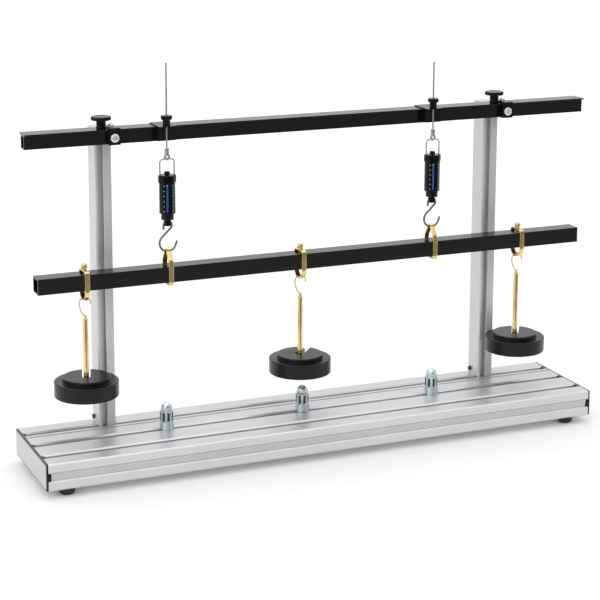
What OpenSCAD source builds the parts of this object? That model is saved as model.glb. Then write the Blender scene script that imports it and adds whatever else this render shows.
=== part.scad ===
// Lever beam apparatus for classroom statics: a slotted aluminium base with two uprights and a crossbar,
// and a square beam that hangs from two spring balances and carries three slotted weights.
// Millimetres. +X runs along the beam, +Y points to the uprights, +Z is up.
// The origin is the middle of the base profile's underside, and the feet reach below it.

/* [Base] */
// Length of the base over its end covers
base_l = 876; // [600:1:1100]
// Width of the base profile
base_w = 168; // [150:1:200]
// Height of the base profile
base_h = 40; // [34:1:50]
// Thickness of the black end plates
end_plate_t = 2.4; // [1.5:0.1:5]
// Thickness of the pale covers on the end plates
cover_t = 0.8; // [0.5:0.1:2]
// Distance from a cover's edge to the plate's edge
cover_inset = 2.4; // [1.5:0.1:5]
// Length of the plate's plugs in the slots
end_plug_l = 4; // [2:0.5:8]
// Width of a slot at the surface
slot_w = 10; // [8:0.5:12]
// Depth of a slot's lips
slot_lip = 4; // [3:0.5:6]
// Width of a slot's undercut
slot_under_w = 18; // [15:0.5:22]
// Height of a slot's undercut
slot_under_h = 8; // [6:0.5:9]
// Flare of a slot's lips
slot_flare = 2; // [0.5:0.1:2.5]
// Distance between neighbouring top slots
slot_pitch = 51; // [44:1:56]
// Width of the fine groove in front of the rear slot
groove_w = 4; // [1:0.5:5]
// Depth of the fine groove
groove_depth = 2; // [0.5:0.1:2.5]
// Distance from the rear slot to the fine groove
groove_offset = 15.5; // [14:0.5:22]
// Thickness of the webs around the profile's hollow chambers
web_t = 5; // [3:0.5:6]
// Chamfer on the profile's long edges
base_chamfer = 2; // [0.5:0.1:3]
// Recess of the front slot's strip at its lower edge
slot_strip_in = 1.4; // [0.5:0.1:2]
// Thickness of the strip's flanges behind the slot's lips
slot_strip_t = 2; // [1:0.1:4]

/* [Feet] */
// Diameter of a foot at the profile
foot_top_d = 27; // [20:0.5:34]
// Diameter of a foot on the table
foot_bottom_d = 20; // [14:0.5:30]
// Height of a foot
foot_h = 11.5; // [8:0.5:18]
// Distance from the end of the base to a foot's centre
foot_inset_x = 34; // [24:1:60]
// Distance from the front of the base to a foot's centre
foot_inset_y = 18; // [17:1:40]
// Diameter of the screw recess in a foot
foot_recess_d = 8; // [5:0.5:10]
// Depth of the screw recess in a foot
foot_recess_h = 4; // [2:0.5:6]

/* [Uprights] */
// Distance from the base's left end to the middle of the left upright
upright_left_inset = 129; // [108:1:148]
// Distance from the base's right end to the middle of the right upright
upright_right_inset = 117; // [98:1:138]
// Width of an upright
upright_w = 25; // [20:1:32]
// Depth of an upright
upright_d = 34; // [28:1:38]
// Height of an upright above the base
upright_h = 443; // [420:1:500]
// Distance from an upright's rear face to the base's rear edge
upright_setback = 5; // [3:0.5:12]
// Width of an upright's slot
upright_slot_w = 8; // [6:0.5:10]
// Depth of an upright slot's lips
upright_slot_lip = 3; // [2:0.5:4]
// Width of an upright slot's undercut
upright_under_w = 13; // [11:0.5:15]
// Height of an upright slot's undercut
upright_under_h = 5; // [4:0.5:7]
// Wall between the front slot's undercut and an upright's left side
upright_slot_wall = 2; // [1:0.5:5.5]
// Chamfer on an upright's edges
upright_chamfer = 1.2; // [0.5:0.1:2.5]
// Thickness of the cap on an upright
cap_t = 2; // [1:0.5:4]
// Diameter of the black bolt head at an upright's foot
foot_bolt_d = 7; // [5:0.5:10]
// Height of that bolt head
foot_bolt_h = 3; // [2:0.5:5]
// Diameter of that bolt's shank
foot_bolt_shank_d = 4; // [3:0.5:5]
// Distance from that bolt to the upright's rear face and to the base
foot_bolt_inset = 8; // [6:0.5:12]

/* [Crossbar] */
// Length of the crossbar
bar_l = 896; // [780:1:1000]
// Place of the crossbar's middle along the base
bar_x = 15; // [0:1:30]
// Depth of the crossbar's tube
bar_w = 17; // [15:0.5:22]
// Height of the crossbar's tube
bar_h = 20; // [18:0.5:26]
// Wall of the crossbar's tube
bar_wall = 2; // [1.2:0.1:3]
// Overhang of the crossbar's top plate in front and behind
bar_over = 6; // [4:0.5:8]
// Thickness of the crossbar's top plate
bar_plate_t = 2; // [1.2:0.1:3]
// Height of the crossbar's top above the upright caps
bar_rise = 4; // [2:0.5:8]
// Depth of the block between an upright and the crossbar
block_d = 12; // [10:0.5:16]

/* [Clamps] */
// Width of the black jaw in front of the crossbar
jaw_w = 17; // [15:0.5:20]
// Thickness of the jaw
jaw_t = 3.6; // [2.5:0.1:6]
// Width of the arm over the crossbar
arm_w = 12; // [10:0.5:13]
// Thickness of the arm
arm_t = 2.4; // [1.5:0.1:4]
// Head diameter of the jaw's screw
jaw_screw_d = 12.5; // [10:0.5:15]
// Head height of the jaw's screw
jaw_screw_h = 3.4; // [2:0.1:5]
// Shank diameter of the jaw's screw
jaw_shank_d = 6; // [5:0.5:7]
// Head diameter of the arm's screws
arm_screw_d = 8.6; // [7:0.1:10]
// Head height of the arm's screws
arm_screw_h = 4; // [2.5:0.5:6]
// Shank diameter of the arm's screws
arm_shank_d = 4; // [3:0.5:5]
// Length of an arm screw's shank under the arm
arm_shank_l = 7; // [5:0.5:9]
// Distance from an upright's middle to its clamp knob
knob_offset = 10; // [9:0.5:16]
// Distance from an upright's middle to the middle of its jaw
jaw_offset = 4.5; // [4:0.5:8]
// Diameter of a clamp knob
knob_d = 29; // [24:0.5:34]
// Thickness of a clamp knob's disc
knob_t = 5.5; // [4:0.5:8]
// Diameter of a knob's neck
knob_neck_d = 14; // [11:0.5:17]
// Height of a knob's neck
knob_neck_h = 11; // [8:0.5:15]
// Diameter of a knob's flange
knob_flange_d = 14.6; // [12:0.1:18]
// Height of a knob's flange
knob_flange_h = 3.4; // [2:0.1:5]
// Diameter of a knob's stud
knob_stud_d = 6; // [5:0.5:7]
// Depth of the finger flutes in a knob
knob_flute_depth = 1.4; // [0.8:0.1:2]
// Side of the square nut in the crossbar
clamp_nut_w = 11; // [10:0.5:12]
// Thickness of that nut
clamp_nut_t = 5; // [4:0.5:6]

/* [Sliders] */
// Distance from the left upright to the left balance
balance_left_inset = 80; // [69:1:99]
// Distance from the right upright to the right balance
balance_right_inset = 126; // [106:1:141]
// Width of a slider
slider_w = 26; // [20:0.5:32]
// Thickness of a slider's strap and lips
slider_t = 1.2; // [1:0.1:2]
// Distance from the crossbar's plate to the lifting rods
rod_offset = 7; // [6:0.5:9]
// Thickness of a slider's cheek in front of the rod's axis
cheek_front = 0.5; // [0.3:0.1:3]
// Reach of a slider's strap in front of the rod's axis
strap_front = 6.5; // [5.5:0.5:9]
// Width of a slider's open slot
rod_slot_w = 3.6; // [3.4:0.1:5]
// Diameter of a lifting rod
rod_d = 2.6; // [2:0.1:3]
// Height of the left rod above the slider
rod_left_rise = 90; // [60:1:120]
// Height of the right rod above the slider
rod_right_rise = 70; // [50:1:120]
// Drop of a rod below the crossbar
rod_drop = 12.5; // [10.5:0.5:20]
// Diameter of a knurled nut's head
nut_head_d = 16.4; // [13:0.1:20]
// Height of a knurled nut's head
nut_head_h = 6; // [4:0.5:9]
// Diameter of a knurled nut's neck
nut_neck_d = 11; // [9:0.5:12]
// Height of a knurled nut's neck
nut_neck_h = 9; // [6:0.5:12]

/* [Spring balances] */
// Width of the clevis over a balance
clevis_w = 9.6; // [8:0.1:12]
// Depth of the clevis
clevis_d = 6; // [5:0.5:8]
// Height of the clevis
clevis_h = 17.5; // [15:0.5:22]
// Width of the clevis's upper block
clevis_top_w = 7; // [5:0.5:8]
// Height of the clevis's upper block
clevis_top_h = 7; // [5:0.5:8]
// Width of the clevis's front window
window_w = 3; // [2.6:0.1:4]
// Diameter of the bail's wire
bail_wire_d = 2.2; // [1.8:0.1:2.6]
// Width of the bail between its wires' middles
bail_w = 21.6; // [20.8:0.1:22]
// Height of the bail above a balance's body
bail_h = 23.4; // [18:0.2:30]
// Radius of the bail's corners
bail_r = 4.5; // [3:0.5:6]
// Depth of a bail's ends in the body
bail_depth = 6; // [3:0.5:8]
// Diameter of a balance's collar
collar_d = 25.4; // [25.2:0.1:28]
// Height of a balance's collar
collar_h = 11.5; // [9:0.5:16]
// Diameter of a balance's body
body_d = 23.4; // [22:0.1:25]
// Height of a balance's body below the collar
body_h = 44; // [36:0.5:60]
// Diameter of a balance's lower step
step_d = 18.4; // [17:0.1:21]
// Height of a balance's lower step
step_h = 9.5; // [7:0.5:14]
// Wall of a balance's body
body_wall = 2.8; // [2:0.1:3.4]
// Thickness of the body's closed ends
body_end_t = 3; // [2:0.5:4]
// Diameter of a balance's zero knob
zero_knob_d = 8.6; // [7:0.1:11]
// Height of a zero knob
zero_knob_h = 5; // [3:0.5:8]
// Diameter of a zero knob's stem
zero_stem_d = 4; // [3:0.5:5]
// Diameter of a plunger's neck
neck_d = 12.2; // [11:0.1:13]
// Diameter of a plunger's waist over its round end
waist_d = 9.4; // [8:0.1:10.5]
// Length of a plunger's neck below the body
neck_out = 9; // [8.5:0.5:16]
// Length of a plunger's neck inside the body
neck_in = 6; // [5:0.5:7]
// Travel of a plunger up and down
plunger_travel = 4; // [3.9:0.1:5]
// Diameter of a plunger's rod
plunger_rod_d = 4; // [3:0.5:5]
// Diameter of the washer on a plunger
washer_d = 15; // [13:0.5:16]
// Thickness of that washer
washer_t = 2; // [1:0.5:3]
// Distance from a balance's top to its washer
washer_drop = 13; // [10.5:0.5:16]
// Wire of a balance's spring
spring_wire_d = 1.4; // [1:0.1:1.8]
// Mean diameter of a balance's spring
spring_d = 10; // [8:0.5:11]
// Curls of a balance's spring
spring_curls = 9; // [6:1:12]
// Width of the blue scale strip
strip_w = 3; // [2:0.5:5]
// Length of the blue scale strip
strip_l = 38; // [30:1:42]
// Thickness of the blue scale strip
strip_t = 0.8; // [0.5:0.1:1]
// Turn of the scale strip to the left of the front
strip_turn = 18; // [-30:1:30]
// Diameter of the hook's wire
hook_wire_d = 3.2; // [2.6:0.1:3.4]
// Radius of the hook's small upper turn
hook_top_r = 6.3; // [5.8:0.1:8]
// Radius of the hook's large lower turn
hook_low_r = 12.4; // [10.6:0.1:15]
// Distance between the middles of the hook's two turns
hook_span = 25.8; // [24:0.2:32]
// Length of the hook's upper tip
hook_upper_tip_l = 6; // [3:0.5:7]
// Length of the hook's lower tip
hook_lower_tip_l = 7; // [2:0.5:9]
// Lean of the hook's lower tip
tip_lean = 20; // [0:1:35]
// Diameter of the pin in a plunger's neck
neck_pin_d = 3; // [2:0.5:3.5]

/* [Beam] */
// Length of the beam
beam_l = 872; // [760:1:960]
// Place of the beam's middle along the base
beam_x = 11; // [0:1:25]
// Depth of the beam's tube
beam_w = 26; // [22:0.5:27]
// Height of the beam's tube
beam_h = 23; // [20:0.5:28]
// Wall of the beam's tube
beam_wall = 2; // [1.2:0.1:3]

/* [Stirrups] */
// Width of a stirrup's strip
strap_w = 7.3; // [6:0.1:8]
// Thickness of a stirrup's strip
strap_t = 2.2; // [1.5:0.1:3]
// Clearance between a stirrup and the beam's sides
strap_gap = 0.4; // [0.3:0.05:0.6]
// Room between a stirrup and the beam's top or underside, and the radius of the stirrup's bends
strap_room = 3; // [2:0.1:4]
// Height of a hanging stirrup's loop above the beam
loop_h = 23.4; // [20:0.2:32]
// Depth of a weight stirrup below the beam before its round end
stirrup_drop = 1.5; // [0.5:0.5:5]
// Diameter of a stirrup screw's head
screw_head_d = 9; // [7:0.1:11]
// Height of a stirrup screw's head
screw_head_h = 8.6; // [6:0.1:12]
// Diameter of a stirrup screw's shank
screw_shank_d = 4; // [3:0.5:5]

/* [Hangers and weights] */
// Place of the left weight along the base
weight_left_x = -354; // [-375:1:-345]
// Place of the middle weight along the base
weight_middle_x = -22; // [-40:1:0]
// Place of the right weight along the base
weight_right_x = 346; // [335:1:365]
// Diameter of a hanger hook's wire
ring_wire_d = 2.2; // [1.6:0.1:2.6]
// Radius of a hanger's hook
ring_r = 8.6; // [8.4:0.1:11]
// Radius of the hook's long curve down to the rod
ring_low_r = 28; // [20:1:40]
// Diameter of the ball on a hanger's rod, where the hook's wire is riveted
rivet_d = 4.6; // [3.5:0.1:6]
// Diameter of a hanger's rod
hanger_rod_d = 7.6; // [5:0.1:9]
// Height of the left hanger's disc above the base
disc_left_height = 67; // [50:1:100]
// Height of the middle hanger's disc above the base
disc_middle_height = 63; // [50:1:100]
// Height of the right hanger's disc above the base
disc_right_height = 56; // [50:1:100]
// Diameter of a hanger's base disc
hanger_disc_d = 32; // [26:0.5:40]
// Thickness of a hanger's base disc
hanger_disc_t = 3; // [2:0.5:5]
// Diameter of a weight
weight_d = 93; // [80:1:94]
// Height of a weight's rim
weight_rim_h = 22; // [16:0.5:28]
// Diameter of a weight's raised middle
weight_boss_d = 69; // [56:1:80]
// Height of a weight's raised middle
weight_boss_h = 6; // [3:0.5:9]
// Width of a weight's slot
weight_slot_w = 12; // [10.5:0.5:14]
// Diameter of a weight's centre hole
weight_bore_d = 15; // [14.5:0.5:18]
// Chamfer on a weight's edges
weight_chamfer = 0.8; // [0.4:0.1:1.5]
// Direction of the left weight's slot
weight_left_turn = 74; // [0:1:180]
// Direction of the middle weight's slot
weight_middle_turn = 50; // [0:1:180]
// Direction of the right weight's slot
weight_right_turn = 58; // [0:1:180]

/* [Pegs] */
// Place of the left peg along the base
peg_left_x = -233; // [-260:1:-200]
// Place of the middle peg along the base
peg_middle_x = -17; // [-50:1:20]
// Place of the right peg along the base
peg_right_x = 201; // [170:1:230]
// Diameter of a peg's lower band
peg_band_d = 21.4; // [18:0.1:26]
// Height of a peg's lower band
peg_band_h = 11; // [8:0.5:14]
// Diameter of a peg's fluted body
peg_body_d = 19.6; // [16:0.1:24]
// Height of a peg's fluted body
peg_body_h = 16; // [10:0.5:22]
// Diameter of a peg's round top
peg_top_d = 17; // [14:0.1:19]
// Side of the sliding foot under a peg
peg_foot_w = 16.4; // [13:0.1:17]

/* [Hidden] */

$fn = 64;
// Overrun of every cut
cut = 0.5;
// A slanted wire is this much thinner than the turns whose ends it runs into
weld = 0.1;
// Running clearance of a shaft in its bore, on the radius
run_gap = 0.05;
// Clearance between pieces that move past each other
side_gap = 0.3;
// Clearance of a screw's shank in its hole, on the radius
hole_gap = 0.2;
// Clearance under the hook's strip, so that a tilted stirrup stays clear
hook_gap = 1.3;
// Clearance over a stirrup's strip in a hanger's hook
ring_gap = 1.4;
// Clearance of a slot's plug and of a peg's foot
plug_gap = 0.4;
// Recess of the front slot's strip at its upper edge
strip_top_in = 0.3;

// Slots of the top face, from front to rear
slot_ys = [-slot_pitch, 0, slot_pitch];
upright_left_x = upright_left_inset - base_l / 2;
upright_right_x = base_l / 2 - upright_right_inset;
upright_xs = [upright_left_x, upright_right_x];
upright_slot_shift = (upright_w - upright_under_w) / 2 - upright_slot_wall;
balance_left_x = upright_left_x + balance_left_inset;
balance_right_x = upright_right_x - balance_right_inset;
upright_back_y = base_w / 2 - upright_setback;
upright_front_y = upright_back_y - upright_d;
upright_top_z = base_h + upright_h;
bar_top_z = upright_top_z + cap_t + bar_rise;
bar_plate_z = bar_top_z - bar_plate_t;
bar_z = bar_plate_z - bar_h;
plate_back_y = upright_front_y - block_d;
bar_back_y = plate_back_y - bar_over;
bar_front_y = bar_back_y - bar_w;
plate_front_y = bar_front_y - bar_over;
bar_mid_y = (bar_front_y + bar_back_y) / 2;
hang_y = plate_front_y - rod_offset;
jaw_h = bar_h + bar_plate_t;

slider_z = bar_top_z + side_gap;
slider_top_z = slider_z + slider_t;
slider_low_z = bar_z + bar_wall;
nut_z = slider_top_z;
rod_low_z = bar_z - rod_drop;
clevis_low_z = rod_low_z + clevis_top_h / 2 - clevis_h;
bail_bar_z = clevis_low_z + bail_wire_d / 2 + slider_t + hole_gap;
balance_top_z = bail_bar_z - bail_h;
collar_z = balance_top_z - collar_h;
body_z = collar_z - body_h;
step_z = body_z - step_h;
neck_low_z = step_z - neck_out;
neck_bore_d = neck_d + 2 * side_gap;
neck_bore_z = step_z + neck_in + plunger_travel + side_gap;
spring_floor_z = max(body_z, neck_bore_z) + body_end_t;
body_bore_d = body_d - 2 * body_wall;
body_bore_z = balance_top_z - body_end_t;
washer_z = balance_top_z - washer_drop - washer_t;

// The hook's upper turn hangs on the pin, and a straight piece touches both turns
neck_pin_z = neck_low_z + neck_pin_d;
hook_top_z = neck_pin_z + neck_pin_d / 2 + side_gap + hook_wire_d / 2 - hook_top_r;
hook_low_z = hook_top_z - hook_span;
hook_lean = asin((hook_top_r + hook_low_r) / hook_span);
loop_top_z = hook_low_z - hook_low_r + hook_wire_d / 2 + hook_gap;
beam_top_z = loop_top_z - loop_h;
beam_z = beam_top_z - beam_h;
stirrup_half = beam_w / 2 + strap_gap;
loop_half = hook_wire_d / 2 + 2 * side_gap;
loop_arch_z = loop_top_z - loop_half;
shoulder_share = 0.25;
loop_shoulder_z = beam_top_z + loop_h * shoulder_share;
strap_top_z = beam_top_z + strap_room;
stirrup_round_z = beam_z - stirrup_drop;
stirrup_bottom_z = stirrup_round_z - stirrup_half;
ring_z = stirrup_bottom_z + ring_gap + ring_wire_d / 2 - ring_r;
hanger_top_z = ring_z - sqrt(2 * ring_low_r * ring_r - ring_r * ring_r);
hanger_left_l = hanger_top_z - base_h - disc_left_height;
hanger_middle_l = hanger_top_z - base_h - disc_middle_height;
hanger_right_l = hanger_top_z - base_h - disc_right_height;

chamber_w = slot_pitch - slot_under_w - 2 * web_t;
chamber_h = base_h - 2 * web_t;
plates_l = base_l - 2 * cover_t;
profile_l = plates_l - 2 * end_plate_t;
plug_w = slot_w - 2 * plug_gap;
peg_z = base_h + side_gap;
peg_foot_h = slot_under_h - 2 * plug_gap;
peg_foot_z = base_h - slot_lip - plug_gap - peg_foot_h;

alu = "silver";
black = [0.13, 0.13, 0.14];
brass = [0.83, 0.68, 0.40];
steel = [0.72, 0.72, 0.74];

// A profile in the Y-Z plane drawn out along X around the place middle
module along_x(length, middle) {
    translate([middle - length / 2, 0, 0])
        rotate([90, 0, 90])
            linear_extrude(height = length)
                children();
}

// A profile in the X-Z plane drawn out along Y from the place low to the place high
module along_y(low, high) {
    translate([0, high, 0])
        rotate([90, 0, 0])
            linear_extrude(height = high - low)
                children();
}

// A solid of revolution from half profiles whose heights are true heights
module turned(x, y) {
    translate([x, y, 0])
        rotate_extrude()
            children();
}

// A band of a half profile: radius and heights
module band(radius, low, high) {
    translate([0, low])
        square([radius, high - low]);
}

// A rectangle with chamfered corners around the origin
module chamfered(w, h, c) {
    a = w / 2;
    b = h / 2;
    polygon([[-a + c, -b], [a - c, -b], [a, -b + c], [a, b - c], [a - c, b], [-a + c, b], [-a, b - c],
        [-a, -b + c]]);
}

// The section of a T-slot that is open at the top, where its lips are flared
module slot_shape(open_w, lip, under_w, under_h, flare) {
    half = open_w / 2;
    translate([-half, -lip - under_h / 2])
        square([open_w, lip + under_h / 2 + cut]);
    translate([-under_w / 2, -lip - under_h])
        square([under_w, under_h]);
    polygon([[-half, -flare], [half, -flare], [half + flare + cut, cut], [-half - flare - cut, cut]]);
}

module base_slots() {
    for (y = slot_ys)
        translate([y, base_h])
            slot_shape(slot_w, slot_lip, slot_under_w, slot_under_h, slot_flare);
    for (side = [-1, 1])
        translate([side * base_w / 2, base_h / 2])
            rotate(-side * 90)
                slot_shape(slot_w, slot_lip, slot_under_w, slot_under_h, slot_flare);
}

module base_profile() {
    color(alu)
        along_x(profile_l, 0)
            difference() {
                translate([0, base_h / 2])
                    chamfered(base_w, base_h, base_chamfer);
                base_slots();
                for (side = [-1, 1])
                    translate([side * slot_pitch / 2 - chamber_w / 2, web_t])
                        square([chamber_w, chamber_h]);
                translate([slot_pitch - groove_offset - groove_w / 2, base_h - groove_depth])
                    square([groove_w, groove_depth + cut]);
            }
}

// The plugs are part of the plate and fill the ends of all slots
module end_plates() {
    plug_h = slot_lip + slot_under_h / 2;
    color(black)
        for (side = [-1, 1]) {
            along_x(end_plate_t, side * (plates_l - end_plate_t) / 2)
                translate([0, base_h / 2])
                    chamfered(base_w, base_h, base_chamfer);
            along_x(end_plug_l, side * (profile_l - end_plug_l) / 2) {
                for (y = slot_ys)
                    translate([y - plug_w / 2, base_h - plug_h])
                        square([plug_w, plug_h]);
                for (face = [-1, 1])
                    translate([face * (base_w - plug_h) / 2 - plug_h / 2, (base_h - plug_w) / 2])
                        square([plug_h, plug_w]);
            }
        }
}

module end_covers() {
    color(alu)
        for (side = [-1, 1])
            along_x(cover_t, side * (base_l - cover_t) / 2)
                translate([0, base_h / 2])
                    chamfered(base_w - 2 * cover_inset, base_h - 2 * cover_inset, base_chamfer);
}

// The face fills the upper flare and lies deeper at its lower edge, and the flanges lie behind the lips
module slot_strip() {
    flange_w = slot_under_w - 2 * plug_gap;
    flange_in = slot_lip + plug_gap;
    half = plug_w / 2;
    color(alu)
        along_x(profile_l - 2 * (end_plug_l + plug_gap), 0)
            translate([-base_w / 2, base_h / 2]) {
                polygon([[slot_strip_in, -half], [flange_in + slot_strip_t, -half],
                    [flange_in + slot_strip_t, half], [slot_flare, half],
                    [strip_top_in, half + slot_flare - strip_top_in]]);
                translate([flange_in, -flange_w / 2])
                    square([slot_strip_t, flange_w]);
            }
}

module feet() {
    color(black)
        for (side = [-1, 1])
            for (face = [-1, 1])
                translate([side * (base_l / 2 - foot_inset_x), face * (base_w / 2 - foot_inset_y), -foot_h])
                    difference() {
                        cylinder(h = foot_h, d1 = foot_bottom_d, d2 = foot_top_d);
                        translate([0, 0, -cut])
                            cylinder(h = foot_recess_h + cut, d = foot_recess_d);
                    }
}

// The front slot lies off the middle, the rear slot in the middle
module upright(x) {
    mid_y = (upright_front_y + upright_back_y) / 2;
    color(alu)
        difference() {
            translate([x, mid_y, base_h])
                linear_extrude(height = upright_h)
                    difference() {
                        chamfered(upright_w, upright_d, upright_chamfer);
                        for (side = [-1, 1])
                            translate([min(side, 0) * upright_slot_shift, side * upright_d / 2])
                                rotate(90 - side * 90)
                                    slot_shape(upright_slot_w, upright_slot_lip, upright_under_w,
                                        upright_under_h, upright_chamfer / 2);
                    }
            translate([x - upright_w / 2 - cut, upright_back_y - foot_bolt_inset, base_h + foot_bolt_inset])
                rotate([0, 90, 0])
                    cylinder(h = upright_w / 4 + cut, d = foot_bolt_shank_d + 2 * run_gap);
        }
}

module upright_left() {
    upright(upright_left_x);
}

module upright_right() {
    upright(upright_right_x);
}

module upright_caps() {
    mid_y = (upright_front_y + upright_back_y) / 2;
    color(alu)
        for (x = upright_xs)
            translate([x, mid_y, upright_top_z])
                linear_extrude(height = cap_t)
                    chamfered(upright_w, upright_d, upright_chamfer);
}

module foot_bolts() {
    color(black)
        for (x = upright_xs)
            translate([x - upright_w / 2, upright_back_y - foot_bolt_inset, base_h + foot_bolt_inset])
                rotate([0, 90, 0]) {
                    translate([0, 0, -foot_bolt_h])
                        cylinder(h = foot_bolt_h, d = foot_bolt_d);
                    cylinder(h = upright_w / 4, d = foot_bolt_shank_d);
                }
}

module crossbar() {
    color(black)
        difference() {
            along_x(bar_l, bar_x)
                difference() {
                    union() {
                        translate([bar_front_y, bar_z])
                            square([bar_w, bar_h + bar_plate_t / 2]);
                        translate([plate_front_y, bar_plate_z])
                            square([bar_w + 2 * bar_over, bar_plate_t]);
                    }
                    translate([bar_front_y + bar_wall, bar_z + bar_wall])
                        square([bar_w - 2 * bar_wall, bar_h - 2 * bar_wall]);
                }
            for (x = upright_xs) {
                translate([x - knob_offset, bar_mid_y, bar_plate_z - 2 * bar_wall])
                    cylinder(h = 2 * bar_wall + bar_plate_t + cut, d = knob_stud_d + 2 * hole_gap);
                translate([x + jaw_offset, bar_mid_y, bar_plate_z - 2 * bar_wall])
                    cylinder(h = 2 * bar_wall + bar_plate_t + cut, d = arm_shank_d + 2 * run_gap);
                translate([x + jaw_offset, bar_front_y - cut, bar_z + bar_h / 2])
                    rotate([-90, 0, 0])
                        cylinder(h = 2 * bar_wall + cut, d = jaw_shank_d + 2 * run_gap);
            }
        }
}

// Each block joins the crossbar's rear face to its upright
module clamp_blocks() {
    color(black)
        for (x = upright_xs)
            along_x(upright_w, x)
                translate([bar_back_y, bar_z])
                    square([upright_front_y - bar_back_y, bar_h - side_gap]);
}

module clamp_arms() {
    color(black)
        difference() {
            for (x = upright_xs)
                along_x(arm_w, x + jaw_offset)
                    translate([plate_front_y, bar_top_z])
                        square([bar_w + 2 * bar_over, arm_t]);
            for (x = upright_xs)
                translate([x + jaw_offset, bar_mid_y, bar_top_z - cut])
                    cylinder(h = arm_t + 2 * cut, d = arm_shank_d + 2 * run_gap);
        }
}

// The jaw's foot reaches back to the tube under the plate's overhang
module clamp_jaws() {
    color(black)
        difference() {
            for (x = upright_xs)
                along_x(jaw_w, x + jaw_offset) {
                    translate([plate_front_y - jaw_t, bar_z])
                        square([jaw_t, bar_h + bar_plate_t + arm_t]);
                    translate([plate_front_y - jaw_t, bar_z])
                        square([jaw_t + bar_over, bar_h - side_gap]);
                }
            for (x = upright_xs)
                translate([x + jaw_offset, plate_front_y - jaw_t - cut, bar_z + bar_h / 2])
                    rotate([-90, 0, 0])
                        cylinder(h = jaw_t + bar_over + 2 * cut, d = jaw_shank_d + 2 * run_gap);
        }
}

// A pan head with a round edge and its shank, upright on the origin
module pan_screw(head_d, head_h, shank_d, shank_l) {
    edge = head_h / 2;
    rotate_extrude() {
        square([head_d / 2 - edge, head_h]);
        square([head_d / 2, head_h - edge]);
        intersection() {
            translate([head_d / 2 - edge, head_h - edge])
                circle(r = edge);
            square([head_d / 2, head_h]);
        }
        translate([0, -shank_l])
            square([shank_d / 2, shank_l]);
    }
}

module clamp_screws() {
    color(steel)
        for (x = upright_xs) {
            translate([x + jaw_offset, bar_mid_y, bar_top_z + arm_t])
                pan_screw(arm_screw_d, arm_screw_h, arm_shank_d, arm_shank_l);
            translate([x + jaw_offset, plate_front_y - jaw_t, bar_z + bar_h / 2])
                rotate([90, 0, 0])
                    pan_screw(jaw_screw_d, jaw_screw_h, jaw_shank_d, jaw_t + bar_over + bar_wall);
        }
}

module clamp_nuts() {
    nut_z = bar_z + bar_h - bar_wall - clamp_nut_t;
    color(steel)
        for (x = upright_xs)
            difference() {
                translate([x - knob_offset - clamp_nut_w / 2, bar_mid_y - clamp_nut_w / 2, nut_z])
                    cube([clamp_nut_w, clamp_nut_w, clamp_nut_t]);
                translate([x - knob_offset, bar_mid_y, nut_z - cut])
                    cylinder(h = clamp_nut_t + 2 * cut, d = knob_stud_d + 2 * run_gap);
            }
}

module clamp_knob(x, flutes) {
    disc_z = bar_top_z + side_gap + knob_neck_h + knob_flange_h - knob_t / 2;
    color(black)
        difference() {
            turned(x - knob_offset, bar_mid_y) {
                band(knob_stud_d / 2, bar_z + bar_h - bar_wall - clamp_nut_t, disc_z);
                band(knob_flange_d / 2, bar_top_z + side_gap, bar_top_z + side_gap + knob_flange_h);
                band(knob_neck_d / 2, bar_top_z + side_gap, disc_z + knob_t);
                translate([0, disc_z])
                    square([knob_d / 2 - knob_flute_depth / 2, knob_t]);
                band(knob_d / 2, disc_z + knob_flute_depth / 2, disc_z + knob_t - knob_flute_depth / 2);
            }
            for (i = [0 : flutes - 1])
                translate([x - knob_offset, bar_mid_y, disc_z - cut])
                    rotate(i * 360 / flutes)
                        translate([knob_d / 2 + knob_flute_depth, 0, 0])
                            cylinder(h = knob_t + 2 * cut, r = 2 * knob_flute_depth);
        }
}

module clamp_knob_left() {
    clamp_knob(upright_left_x, 12);
}

module clamp_knob_right() {
    clamp_knob(upright_right_x, 6);
}

// A saddle over the plate: its front cheek guides the rod in an open slot, and its rear lip hooks under
module slider(x) {
    cheek_y = hang_y - cheek_front;
    strap_y = hang_y - strap_front;
    inner_y = plate_front_y - side_gap;
    back_y = plate_back_y + side_gap;
    under_z = bar_plate_z - side_gap;
    cheek_h = slider_top_z - slider_low_z;
    color(black)
        difference() {
            along_x(slider_w, x) {
                translate([cheek_y, slider_low_z])
                    square([bar_front_y - side_gap - cheek_y, under_z - slider_low_z]);
                translate([cheek_y, slider_low_z])
                    square([inner_y - cheek_y, cheek_h]);
                translate([strap_y, slider_z])
                    square([back_y + slider_t - strap_y, slider_t]);
                translate([back_y, under_z - slider_t])
                    square([slider_t, slider_top_z - under_z + slider_t]);
                translate([bar_back_y + side_gap, under_z - slider_t])
                    square([back_y - bar_back_y - side_gap + slider_t, slider_t]);
            }
            translate([x - rod_slot_w / 2, strap_y - cut, slider_low_z - cut])
                cube([rod_slot_w, strap_front + rod_slot_w / 2 + cut, cheek_h + 2 * cut]);
        }
}

module slider_left() {
    slider(balance_left_x);
}

module slider_right() {
    slider(balance_right_x);
}

module lift_nut(x) {
    color(steel)
        turned(x, hang_y)
            difference() {
                union() {
                    band(nut_neck_d / 2, nut_z, nut_z + nut_neck_h + nut_head_h);
                    band(nut_head_d / 2, nut_z + nut_neck_h, nut_z + nut_neck_h + nut_head_h);
                }
                band(rod_d / 2 + run_gap, nut_z - cut, nut_z + nut_neck_h + nut_head_h + cut);
            }
}

module lift_nut_left() {
    lift_nut(balance_left_x);
}

module lift_nut_right() {
    lift_nut(balance_right_x);
}

module lift_rod(x, rise) {
    color(steel)
        turned(x, hang_y)
            band(rod_d / 2, rod_low_z, slider_top_z + rise);
}

module lift_rod_left() {
    lift_rod(balance_left_x, rod_left_rise);
}

module lift_rod_right() {
    lift_rod(balance_right_x, rod_right_rise);
}

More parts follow.
